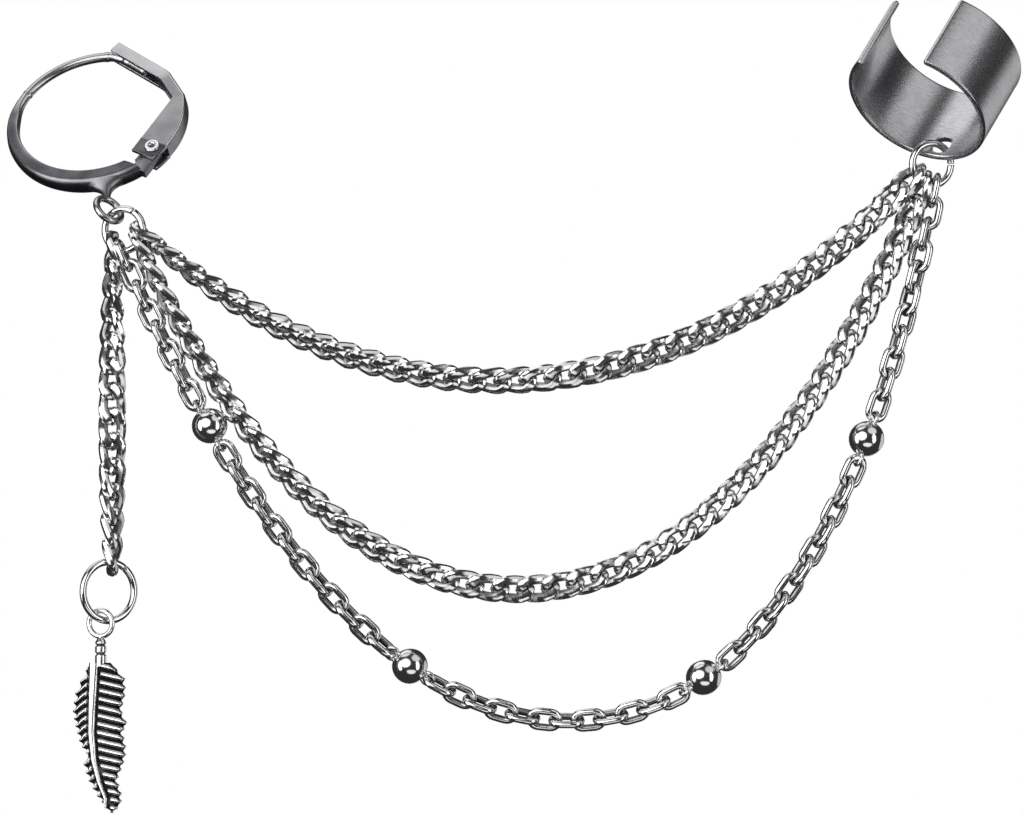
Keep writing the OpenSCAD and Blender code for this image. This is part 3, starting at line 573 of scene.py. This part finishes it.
def cuff_shell():
    """The strip as a grid with its wall's outline as the ring, less a square of cells on both faces
    round the hole. A patch that runs from the square to the circle, through the wall and back out to
    the square fills the place. Also gives each point's place along the strip."""
    hole_z, hole_a = CUFF_HOLE_IN - CUFF_W / 2, np.radians(CUFF_HOLE_AT)
    half_w, half_t, turn = CUFF_W / 2, CUFF_WALL / 2, HOLE_PATCH / CUFF_R
    first = np.radians(CUFF_GAP_MID + CUFF_GAP / 2)
    last = first + np.radians(360 - CUFF_GAP)
    ends = CUFF_EDGE / CUFF_R
    step = ends * (1 - np.cos(np.linspace(0, np.pi / 2, 7)))
    near = np.linspace(hole_a - turn, hole_a + turn, HOLE_CELLS + 1)
    a = np.concatenate([first + step, np.linspace(first + ends, near[0], 90)[1:-1], near,
                        np.linspace(near[-1], last - ends, 50)[1:-1], (last - step)[::-1]])
    from_end = np.clip(np.minimum(a - first, last - a) / ends, 0, 1)
    thin = END_THIN + (1 - END_THIN) * np.sqrt(1 - (1 - from_end) ** 2)
    z_hole = hole_z + np.linspace(-HOLE_PATCH, HOLE_PATCH, HOLE_CELLS + 1)
    z_line = np.concatenate([z_hole, np.linspace(z_hole[-1], half_w - CUFF_EDGE, 30)[1:]])
    bow = np.radians(np.linspace(-90, 90, 13)[1:-1])
    top = stacked(half_w - CUFF_EDGE + CUFF_EDGE * np.cos(bow), -half_t * np.sin(bow))
    low = stacked(z_line[0] - (z_line[0] + half_w) * np.cos(bow), half_t * np.sin(bow))
    outer = stacked(z_line, half_t)
    inner = stacked(z_line[::-1], -half_t)
    outline = np.concatenate([outer, top, inner, low])
    edge, thin = outline[None, :, 0], thin[:, None]
    across = edge - np.sign(edge) * (1 - thin) * CUFF_EDGE
    grid = cuff_surface(a[:, None], across, outline[None, :, 1] * thin)
    points, (sides, caps) = shell(grid)
    ring, place = np.divmod(np.arange(len(sides)), len(outline))
    first_ring = np.searchsorted(a, near[0] - 1e-9)
    back = len(outer) + len(top) + len(z_line) - 1 - HOLE_CELLS
    taken = ((ring >= first_ring) & (ring < first_ring + HOLE_CELLS)
             & ((place < HOLE_CELLS) | ((place >= back) & (place < back + HOLE_CELLS))))
    run = np.linspace(-1, 1, HOLE_CELLS + 1)[:-1]
    square = HOLE_PATCH * np.concatenate([stacked(run, -1), stacked(1, run), stacked(-run, 1),
                                          stacked(-1, -run)])
    blend = np.concatenate([HOLE_BLEND, HOLE_BLEND[::-1]])[:, None, None]
    depth = half_t * np.concatenate([HOLE_DEPTH, -HOLE_DEPTH[::-1]])[:, None]
    spot = square * (1 - blend) + CUFF_HOLE_R * unit(square) * blend
    patch_a = hole_a + spot[..., 0] / CUFF_R
    patch_points, patch_faces = shell(cuff_surface(patch_a, hole_z + spot[..., 1], depth))
    along = np.concatenate([np.broadcast_to(a[:, None], grid.shape[:2]).ravel(), patch_a.ravel()])
    # The patch alone would be the plug of the hole, so its faces are turned over.
    faces = [sides[~taken], caps, patch_faces[0][:, ::-1] + len(points)]
    return (np.concatenate([points, patch_points]), faces), along


def brushed_lines():
    """Node group of the satin brushing: noise drawn out along the strip, so that it falls into fine lines
    round the cuff. Its value is how deep a line lies."""
    g = bpy.data.node_groups.new("brushed_lines", "ShaderNodeTree")
    g.interface.new_socket("Grain", in_out="OUTPUT", socket_type="NodeSocketFloat")
    new, join = g.nodes.new, g.links.new
    put, place = new("NodeGroupOutput"), new("ShaderNodeCombineXYZ")
    for axis, name in (("X", "along"), ("Y", "across")):
        mask = new("ShaderNodeAttribute")
        mask.attribute_name = name
        join(mask.outputs["Fac"], place.inputs[axis])
    stretch, noise, depth = new("ShaderNodeMapping"), new("ShaderNodeTexNoise"), new("ShaderNodeMapRange")
    stretch.inputs["Scale"].default_value = BRUSH_STRETCH
    noise.inputs["Scale"].default_value, noise.inputs["Detail"].default_value = 1, BRUSH_DETAIL
    noise.inputs["Roughness"].default_value = BRUSH_ROUGHNESS
    depth.inputs["From Min"].default_value, depth.inputs["From Max"].default_value = BRUSH_RANGE
    depth.inputs["To Max"].default_value = BRUSH_DEPTH
    join(place.outputs[0], stretch.inputs["Vector"])
    join(stretch.outputs[0], noise.inputs["Vector"])
    join(noise.outputs[0], depth.inputs["Value"])
    join(depth.outputs[0], put.inputs["Grain"])
    return g


cuff_metal = metal("cuff_metal", (0.6, 0.6, 0.615), (0.2, 0.2, 0.21), 0.24, 0.1, 0.1, 0.3)
brushing = cuff_metal.node_tree.nodes.new("ShaderNodeGroup")
brushing.node_tree = brushed_lines()
cuff_wear = next(n for n in cuff_metal.node_tree.nodes if n.type == "GROUP" and n.node_tree == WEAR_AND_SHADE)
cuff_metal.node_tree.links.new(brushing.outputs["Grain"], cuff_wear.inputs["Grain"])
hole_in_cuff = np.append(polar(CUFF_R, CUFF_HOLE_AT), CUFF_HOLE_IN - CUFF_W / 2)
cuff_c = cuff_hole_c - aimed(hole_in_cuff, CUFF_LEAN, CUFF_RISE)
strip, strip_along = cuff_shell()
piece("brushed_cuff", placed([strip], lambda p: cuff_c + aimed(p, CUFF_LEAN, CUFF_RISE)), cuff_metal,
      "earring", ["ear_cuff"],
      masks=[("along", strip_along), ("across", strip[0][:, 2] / CUFF_W)])


# Curb chains. Steel wire links, each twisted so that the chain lies flat, then filed on both faces. Two
# hang between the rings, one above the other, and a short one drops to the feather. A roll table gives
# the turn of the links about the chain at shares of its length.
CURB_PITCH, CURB_W, CURB_WIRE_D, CURB_TWIST, CURB_FLAT = 2.1, 2.34, 0.82, -48, 0.6
UPPER_LINKS, MIDDLE_LINKS, DROP_LINKS = 35, 46, 13
UPPER_ENDS, MIDDLE_ENDS, DROP_END = (2, -155), (-30, -113), -143
UPPER_ROLL = [(0, 84), (0.12, 54), (0.45, 32), (0.6, 2), (0.9, -8), (1, -38)]
MIDDLE_ROLL = [(0, 82), (0.1, 60), (0.3, 40), (0.5, 0), (0.7, -30), (0.92, -32), (1, -48)]
DROP_ROLL = [(0, 84), (0.3, 40), (1, -77)]
# Patina with painted shade: the inner side of each link's wire is darkened towards the dark colour.
CURB_PATINA_AND_SHADE, CURB_PATINA_AND_SHADE_FROM, CURB_SHARP = 0.6, (0.4, 0.9), 32
# Where halving looks for the lift, in weights of the row, and for the pull, as powers of ten of it.
LIFT_RANGE, PULL_POWERS, HALVINGS = (-3, 4), (-3.0, 2.0), 40


def on_ring(ring, degrees):
    """Where a chain's end rests on the inside of its ring."""
    centre, r, turn = ring
    return centre + (r - RING_WIRE_R - LINK_GAP / 2) * ring_dir(turn, degrees)


def hang(lengths, weights, ends, roll, lean=0):
    """Frames of a row of items hung between the two rings under their own weight: middle, direction,
    upright and roll of each. Every item points along the force in it: a constant pull to the side, and
    the lift at the first end less the weight before its middle. Halving finds the lift that brings the
    last end to its height, for a pull that halving too finds from the distance."""
    a, b = on_ring(hoop_ring, ends[0]), on_ring(cuff_ring, ends[1])
    total = weights.sum()
    before = np.cumsum(weights) - weights / 2
    level = unit((b - a) * [1, 1, 0])
    upright, lean = np.array([0, 0, 1.0]), np.radians(lean)
    side = np.cos(lean) * level + np.sin(lean) * upright
    rise = np.cos(lean) * upright - np.sin(lean) * level
    out, up = (b - a) @ side, (b - a) @ rise

    def steps(pull, lift):
        force = stacked(pull, before - lift)
        return lengths[:, None] * unit(force)

    def lift_for(pull):
        low, high = LIFT_RANGE[0] * total, LIFT_RANGE[1] * total
        for _ in range(HALVINGS):
            mid = (low + high) / 2
            low, high = (mid, high) if steps(pull, mid)[:, 1].sum() > up else (low, mid)
        return (low + high) / 2

    low, high = PULL_POWERS
    for _ in range(HALVINGS):
        mid = (low + high) / 2
        pull = total * 10 ** mid
        low, high = (mid, high) if steps(pull, lift_for(pull))[:, 0].sum() < out else (low, mid)
    step = steps(pull, lift_for(pull))
    joints = np.concatenate([[[0, 0]], np.cumsum(step, axis=0)])
    middle, along = (joints[1:] + joints[:-1]) / 2, unit(step)
    share = (np.arange(len(lengths)) + 0.5) / len(lengths)
    return (a + middle[:, :1] * side + middle[:, 1:] * rise, along[:, :1] * side + along[:, 1:] * rise,
            along[:, :1] * rise - along[:, 1:] * side, np.interp(share, *np.transpose(roll)))


def link_line(half_l, half_w, twist, end_steps=11, side_steps=3):
    """Middle line of a link's wire: two half circles joined by straight sides, every point turned about
    the chain's direction by the twist times its share of the half length."""
    a = np.radians(np.linspace(-90, 90, end_steps))
    run = half_l - half_w
    x = np.concatenate([run + half_w * np.cos(a), np.linspace(run, -run, side_steps + 2)[1:-1]])
    y = np.concatenate([half_w * np.sin(a), np.full(side_steps, half_w)])
    x, y = np.concatenate([x, -x]), np.concatenate([y, -y])
    t = np.radians(twist) * x / half_l
    return stacked(x, y * np.cos(t), y * np.sin(t))


def links(frames, line, wire_r, flat=None, sides=10):
    """Shells of a chain's links and how far each point lies towards the inner side of its wire, which
    carries patina and painted shade. A round profile is carried along the link's line with its first axis
    away from the link's middle, filed flat where it stands past the given height, and put into each frame.
    The side towards the middle gets the most patina and painted shade."""
    centre, along_chain, upright, roll = frames
    roll = np.radians(roll)[:, None]
    across = np.cos(roll) * upright + np.sin(roll) * np.cross(along_chain, upright)
    normal = np.cross(along_chain, across)
    along = unit(np.roll(line, -1, 0) - np.roll(line, 1, 0))
    out = unit(np.cross(along, np.cross(line, along)))
    aside = np.cross(along, out)
    p = circle(wire_r, sides)
    q = line[:, None] + p[None, :, :1] * out[:, None] + p[None, :, 1:] * aside[:, None]
    if flat:
        q[..., 2] = np.clip(q[..., 2], -flat, flat)
    axes = np.stack([along_chain, across, normal], 1)
    grids = centre[:, None, None] + np.einsum("nki,jil->jnkl", q, axes)
    inside = np.broadcast_to((1 - p[None, :, 0] / wire_r) / 2, q.shape[:2])
    return [shell(g, True) for g in grids], np.tile(inside.ravel(), len(grids))


def half_link(pitch, wire_d):
    """Half length of a link whose wire just touches that of the next."""
    return (pitch + wire_d) / 2


def hung_curb(count, ends, roll):
    """Frames of a curb chain of so many links between the two rings."""
    return hang(np.full(count, CURB_PITCH), np.ones(count), ends, roll)


def curb_chain(name, frames, node):
    """One curb chain as one object, with its patina and painted shade."""
    line = link_line(half_link(CURB_PITCH, CURB_WIRE_D), (CURB_W - CURB_WIRE_D) / 2, CURB_TWIST)
    shells, inside = links(frames, line, CURB_WIRE_D / 2, CURB_FLAT)
    patina_and_shade = CURB_PATINA_AND_SHADE * ramp(inside, *CURB_PATINA_AND_SHADE_FROM)
    piece(name, shells, chain_metal, "earring", [node], CURB_SHARP, [("patina_and_shade", patina_and_shade)])


chain_metal = metal("chain_metal", (0.84, 0.84, 0.85), (0.03, 0.03, 0.035),
                    0.15, 0.25, 0.12, 0.12, "patina_and_shade")
drop_top = on_ring(hoop_ring, DROP_END)
drop_share = (np.arange(DROP_LINKS) + 0.5) / DROP_LINKS
down, right = np.array([0, 0, -1.0]), np.array([1.0, 0, 0])
drop_frames = (drop_top + (drop_share * DROP_LINKS * CURB_PITCH)[:, None] * down,
               np.tile(down, (DROP_LINKS, 1)), np.tile(right, (DROP_LINKS, 1)),
               np.interp(drop_share, *np.transpose(DROP_ROLL)))
curb_chain("upper_curb_links", hung_curb(UPPER_LINKS, UPPER_ENDS, UPPER_ROLL), "upper_chain")
curb_chain("middle_curb_links", hung_curb(MIDDLE_LINKS, MIDDLE_ENDS, MIDDLE_ROLL), "middle_chain")
curb_chain("drop_curb_links", drop_frames, "drop_chain")


# Beaded chain. Plain oval cable links, each a quarter turn from the next, with four polished steel
# balls between the runs. Each ball has a small wire loop at both ends.
CABLE_PITCH, CABLE_W, CABLE_WIRE_D, CABLE_RUNS = 1.85, 2.1, 0.62, (8, 12, 12, 11, 11)
BEAD_D, BEAD_LOOP_R, BEAD_WIRE_D, BEAD_WEIGHT, SAG_LEAN = 3, 0.5, 0.36, 3, 7
LOWER_ENDS, LOWER_ROLL = (-110, -71), [(0, 99), (0.12, 115), (0.88, 117), (1, 191)]
CABLE_PATINA_AND_SHADE, CABLE_PATINA_AND_SHADE_FROM = 0.7, (0.55, 0.95)
bead_reach = BEAD_D / 2 + BEAD_LOOP_R - BEAD_WIRE_D / 2
bead_pitch = 2 * bead_reach + 2 * BEAD_LOOP_R - BEAD_WIRE_D - LINK_GAP
is_bead = np.concatenate([np.append(np.zeros(n, bool), True) for n in CABLE_RUNS])[:-1]
lower_frames = hang(np.where(is_bead, bead_pitch, CABLE_PITCH), np.where(is_bead, BEAD_WEIGHT, 1.0),
                    LOWER_ENDS, LOWER_ROLL, SAG_LEAN)
lower_frames = lower_frames[:3] + (lower_frames[3] + 90 * (np.arange(len(is_bead)) % 2),)
cable_line = link_line(half_link(CABLE_PITCH, CABLE_WIRE_D), (CABLE_W - CABLE_WIRE_D) / 2, 0)
cable_shells, cable_inside = links([f[~is_bead] for f in lower_frames], cable_line, CABLE_WIRE_D / 2)
# The cable links get the same patina and painted shade on the inner side of their wire.
piece("lower_cable_links", cable_shells, chain_metal, "earring", ["lower_chain"],
      masks=[("patina_and_shade", CABLE_PATINA_AND_SHADE * ramp(cable_inside, *CABLE_PATINA_AND_SHADE_FROM))])


BALL_TO = 88.65


def ball(sides=40, rings=28):
    """Ball about X: rings at even steps of latitude, their radius the cosine and their place the sine."""
    t = np.radians(np.linspace(-BALL_TO, BALL_TO, rings))[:, None]
    r, ring = BEAD_D / 2 * np.cos(t), circle(1, sides)
    return shell(stacked(BEAD_D / 2 * np.sin(t), r * ring[:, 0], r * ring[:, 1]))


def bead_loop(side):
    """Small round wire loop at one end of a ball."""
    out, aside = np.array([1, 0, 0]), np.array([0, 1, 0])
    return wire_ring(side * bead_reach * out, BEAD_LOOP_R, out, aside, BEAD_WIRE_D / 2, 12, 10)


bead_metal = metal("bead_metal", (0.8, 0.8, 0.81), (0.08, 0.08, 0.09), 0.14, 0.2, 0.06, 0.08)
for number, i in enumerate(np.flatnonzero(is_bead), 1):
    spot, d, up, roll = (f[i] for f in lower_frames)
    w = np.cos(np.radians(roll)) * up + np.sin(np.radians(roll)) * np.cross(d, up)
    axes = np.stack([d, w, np.cross(d, w)])
    shells = placed([ball(), bead_loop(-1), bead_loop(1)], lambda p, spot=spot, axes=axes: spot + p @ axes)
    piece(f"polished_ball_{number}", shells, bead_metal, "earring", [f"bead_{number}"])


# Feather and its ring. The large jump ring hangs in the drop chain's last link. The feather is one
# casting in antiqued steel, the same on both faces: an eye, a neck with two grooves, and a vane whose
# raised barbs run down from the quill. The low places stay dark and the ridges are polished bright.
FEATHER_RING_R, FEATHER_RING_TURN, FEATHER_RING_HOLD = 2.45, -32, -108
FEATHER_RING_HANG, FEATHER_RING_CUT_AT = 80, 52
VANE_L, VANE_W, VANE_T, BARB_H, BARB_PITCH = 12.5, 5, 0.5, 0.16, 0.7
QUILL_H, QUILL_W, STEM_L, STEM_D, COLLAR_GROOVE = 0.3, 0.75, 2.2, 0.95, 0.14
FEATHER_EYE_D, FEATHER_EYE_WIRE_D, FEATHER_TURN = 2.6, 0.46, 24
# The barbs' slope, their phase, and how far the edge is drawn in between them.
LEFT_SLOPE, RIGHT_SLOPE, BARB_PHASE, LEFT_NOTCH, RIGHT_NOTCH, NOTCH_FROM = 0.65, 0.2, 0.9, 0.3, 0.22, 0.06
# The quill's width at the top and what it loses down to the tip, how flat its back is, and the smooth
# strip beside it, which is wider on the right.
QUILL_SHARE, QUILL_LOSS, QUILL_POWER, QUILL_SIDE, RIGHT_SIDE = 1.15, 0.75, 0.35, 0.25, 0.12
VANE_EDGE, VANE_EDGE_THIN, TIP_RUN, TIP_REST = 12, 0.25, 0.03, 0.15
LOW_RANGE, STEM_IN_VANE, STEM_LOW = (0.25, 0.65), 0.3, 0.9
# Rows of the outline, as shares of the length and the width: the height, the left and the right edge.
VANE_ROWS = np.array([
    [0, -0.19, 0.17], [0.1, -0.33, 0.44], [0.2, -0.46, 0.46], [0.32, -0.51, 0.38],
    [0.41, -0.47, 0.49], [0.46, -0.43, 0.4], [0.55, -0.37, 0.46], [0.61, -0.24, 0.46],
    [0.66, -0.32, 0.43], [0.78, -0.22, 0.3], [0.88, -0.07, 0.38], [0.95, 0.07, 0.36], [1, 0.18, 0.22]])
QUILL_LINE = np.array([[-0.02, -0.1], [0.33, -0.14], [0.47, -0.15], [0.65, -0.1], [0.79, 0], [0.9, 0.12]])
feather_ring_c = (drop_top + DROP_LINKS * CURB_PITCH * down
                  - on_ring((0, FEATHER_RING_R, FEATHER_RING_TURN), FEATHER_RING_HANG))
feather_hook = feather_ring_c + FEATHER_RING_R * ring_dir(FEATHER_RING_TURN, FEATHER_RING_HOLD)
feather_ring_shell = jump_ring((feather_ring_c, FEATHER_RING_R, FEATHER_RING_TURN), FEATHER_RING_CUT_AT)
piece("feather_ring_wire", [feather_ring_shell], ring_metal, "earring", ["pendant_jump_ring"])
feather_eye_r = (FEATHER_EYE_D - FEATHER_EYE_WIRE_D) / 2
eye_drop = feather_eye_r - FEATHER_EYE_WIRE_D / 2 - RING_WIRE_R - LINK_GAP
vane_top = -feather_eye_r - STEM_L


def vane(rows=300, columns=64):
    """Rings across the vane, each over the front face and back under the other. Half the thickness is
    that of the vane, plus barbs as a cosine wave whose phase is the distance down less the slope times
    the distance from the quill, plus the round quill. It falls to a thin edge, and the edge is drawn in
    a little between barbs. Also gives how low each point lies, for the dark finish."""
    v = np.linspace(0, 1, rows)[:, None]
    y = v * VANE_L
    quill = VANE_W * np.interp(v, *QUILL_LINE.T)
    left, right = (VANE_W * np.interp(v, VANE_ROWS[:, 0], VANE_ROWS[:, i]) for i in (1, 2))

    def comb(x, slope):
        phase = 2 * np.pi * (y - slope * np.abs(x - quill)) / BARB_PITCH
        return 0.5 + 0.5 * np.cos(phase - BARB_PHASE)

    left = left + LEFT_NOTCH * (1 - comb(left, LEFT_SLOPE)) * ramp(v, 0, NOTCH_FROM)
    right = right - RIGHT_NOTCH * (1 - comb(right, RIGHT_SLOPE)) * ramp(v, 0, NOTCH_FROM)
    u = np.linspace(0, 1, columns)[None]
    x = left + (right - left) * u
    from_quill = x - quill
    bars = comb(x, np.where(from_quill < 0, LEFT_SLOPE, RIGHT_SLOPE))
    half_quill = QUILL_W / 2 * (QUILL_SHARE - QUILL_LOSS * v)
    hump = np.clip(1 - (from_quill / half_quill) ** 2, 0, 1) ** QUILL_POWER
    beside = np.abs(from_quill) - half_quill - np.where(from_quill > 0, RIGHT_SIDE, 0)
    beside = ramp(beside, 0, QUILL_SIDE)
    relief = BARB_H * (bars * beside) + QUILL_H * hump
    edge = np.sqrt(np.clip(1 - (2 * u - 1) ** VANE_EDGE, 0, 1)) * ease((1 - v) / TIP_RUN + TIP_REST)
    half = (VANE_T / 2 + relief) * (VANE_EDGE_THIN + (1 - VANE_EDGE_THIN) * edge)
    front = stacked(x, -half, -y)
    back = stacked(x, half, -y)[:, ::-1]
    low = 1 - ramp(np.maximum(bars * beside, hump), *LOW_RANGE)
    return shell(np.concatenate([front, back], 1)), np.concatenate([low, low[:, ::-1]], 1)


def feather_stem():
    """Turned neck: its radius over its height, with two grooves."""
    band, r = STEM_L / 3, STEM_D / 2
    z = np.linspace(-STEM_IN_VANE, STEM_L, 60)[:, None]
    groove = sum(np.exp(-((z - k * band) / (0.6 * COLLAR_GROOVE)) ** 2) for k in (1, 2))
    taper = ramp(z, 2 * band + COLLAR_GROOVE, STEM_L)
    radius = (r - COLLAR_GROOVE * groove) * (1 - taper) + FEATHER_EYE_WIRE_D / 2 * taper
    ring = circle(1, 36)
    grid = stacked(radius * ring[:, 0], radius * ring[:, 1], z)
    return shell(grid), np.broadcast_to(groove, grid.shape[:2])


def feather_place(p):
    """The feather hangs by its eye from the ring, turned a little to the left."""
    return turned_z(p, -FEATHER_TURN) + feather_hook + eye_drop * down


feather_metal = metal("feather_metal", (0.93, 0.93, 0.93), (0.012, 0.012, 0.013),
                      0.2, 0.2, 0.12, 0.12, "low")
(vane_shell, vane_low), (stem_shell, stem_low) = vane(), feather_stem()
eye_shell = wire_ring(0, feather_eye_r, right, -down, FEATHER_EYE_WIRE_D / 2, 20)
feather_shells = placed([vane_shell, stem_shell], lambda p: p + [0, 0, vane_top]) + [eye_shell]
feather_low = np.concatenate([vane_low.ravel(), STEM_LOW * stem_low.ravel(), np.zeros(len(eye_shell[0]))])
piece("cast_feather", placed(feather_shells, feather_place), feather_metal, "pendant",
      ["feather_pendant"], 60, [("low", feather_low)])


# Stage. A pale floor under the earring, a white surround that only the camera sees, wide soft lights in
# front, above and behind, and a long lens level with the middle of the picture.
VIEW_X, VIEW_Y, VIEW_Z, VIEW_W, LENS, SENSOR = 35.1, -13, -29.5, 85.33, 400, 36
FLOOR_Z, FLOOR_HALF, LIGHT_AWAY, BACK_LIGHT_AWAY = -80, 400, 520, 300
PAPER, WHITE, DIM = (0.93, 0.93, 0.93, 1), (1, 1, 1, 1), (0.035, 0.035, 0.037, 1)
PAPER_ROUGHNESS = 0.9

floor_corners = raised(FLOOR_HALF * np.array([[-1, -1], [1, -1], [1, 1], [-1, 1]]) + [VIEW_X, 0], FLOOR_Z)
floor_mesh = bpy.data.meshes.new("pale_floor")
floor_mesh.from_pydata((floor_corners * MM).tolist(), [], [[0, 1, 2, 3]])
paper = bpy.data.materials.new("paper")
paper.use_nodes = True
paper_shader = paper.node_tree.nodes["Principled BSDF"].inputs
for socket, value in (("Base Color", PAPER), ("Roughness", PAPER_ROUGHNESS), ("Emission Color", WHITE),
                      ("Emission Strength", 1)):
    paper_shader[socket].default_value = value
floor_mesh.materials.append(paper)
pale_floor = in_scene("pale_floor", floor_mesh)
pale_floor.visible_glossy = False


def soft_light(name, toward, width, height, brightness, away=LIGHT_AWAY):
    """Oval soft light that faces the middle of the earring from a direction, with its width, height and
    distance in mm. Its power is its brightness times pi times its area in square metres."""
    lamp = bpy.data.lights.new(name, "AREA")
    lamp.shape, lamp.size, lamp.size_y = "ELLIPSE", width * MM, height * MM
    lamp.energy = brightness * np.pi * lamp.size * lamp.size_y * np.pi / 4
    obj = in_scene(name, lamp)
    obj.visible_camera = False
    toward = unit(np.array(toward, float))
    side = unit(np.cross([0, 0, 1], toward))
    turn = np.eye(4)
    turn[:3, :3] = stacked(side, np.cross(toward, side), toward)
    turn[:3, 3] = (np.array([VIEW_X, VIEW_Y, VIEW_Z]) + away * toward) * MM
    obj.matrix_world = Matrix(turn.tolist())


soft_light("key_light", (-0.46, -0.84, 0.3), 620, 520, 2.1)
soft_light("left_light", (-0.9, -0.42, 0), 240, 520, 2.6)
soft_light("right_light", (0.8, -0.6, 0), 200, 500, 2.4)
soft_light("low_light", (0.15, -0.75, -0.65), 520, 240, 1.1)
soft_light("top_light", (0.57, -0.38, 0.72), 520, 400, 0.78)
soft_light("ceiling_light", (-0.33, 0.14, 0.93), 560, 480, 1.15)
soft_light("back_light", (0.8, 0.58, -0.15), 240, 220, 0.65, BACK_LIGHT_AWAY)
soft_light("behind_light", (-0.15, 0.96, 0.22), 300, 420, 1.1)
soft_light("behind_low_light", (0.22, 0.93, -0.3), 240, 240, 0.8)

world = bpy.data.worlds.new("studio")
bpy.context.scene.world = world
world.use_nodes = True
surround = world.node_tree
dim, white = surround.nodes["Background"], surround.nodes.new("ShaderNodeBackground")
by_ray, ray = surround.nodes.new("ShaderNodeMixShader"), surround.nodes.new("ShaderNodeLightPath")
dim.inputs["Color"].default_value, white.inputs["Color"].default_value = DIM, WHITE
for found, socket in zip((ray.outputs["Is Camera Ray"], dim.outputs[0], white.outputs[0]), by_ray.inputs):
    surround.links.new(found, socket)
surround.links.new(by_ray.outputs[0], surround.nodes["World Output"].inputs["Surface"])

lens = bpy.data.cameras.new("long_lens")
lens.lens, lens.sensor_width, lens.clip_start, lens.clip_end = LENS, SENSOR, 0.01, 20
camera = in_scene("long_lens", lens)
camera.location = np.array([VIEW_X, VIEW_Y - VIEW_W * LENS / SENSOR, VIEW_Z]) * MM
camera.rotation_euler = (np.pi / 2, 0, 0)
bpy.context.scene.camera = camera
bpy.context.scene.view_settings.view_transform = "Standard"
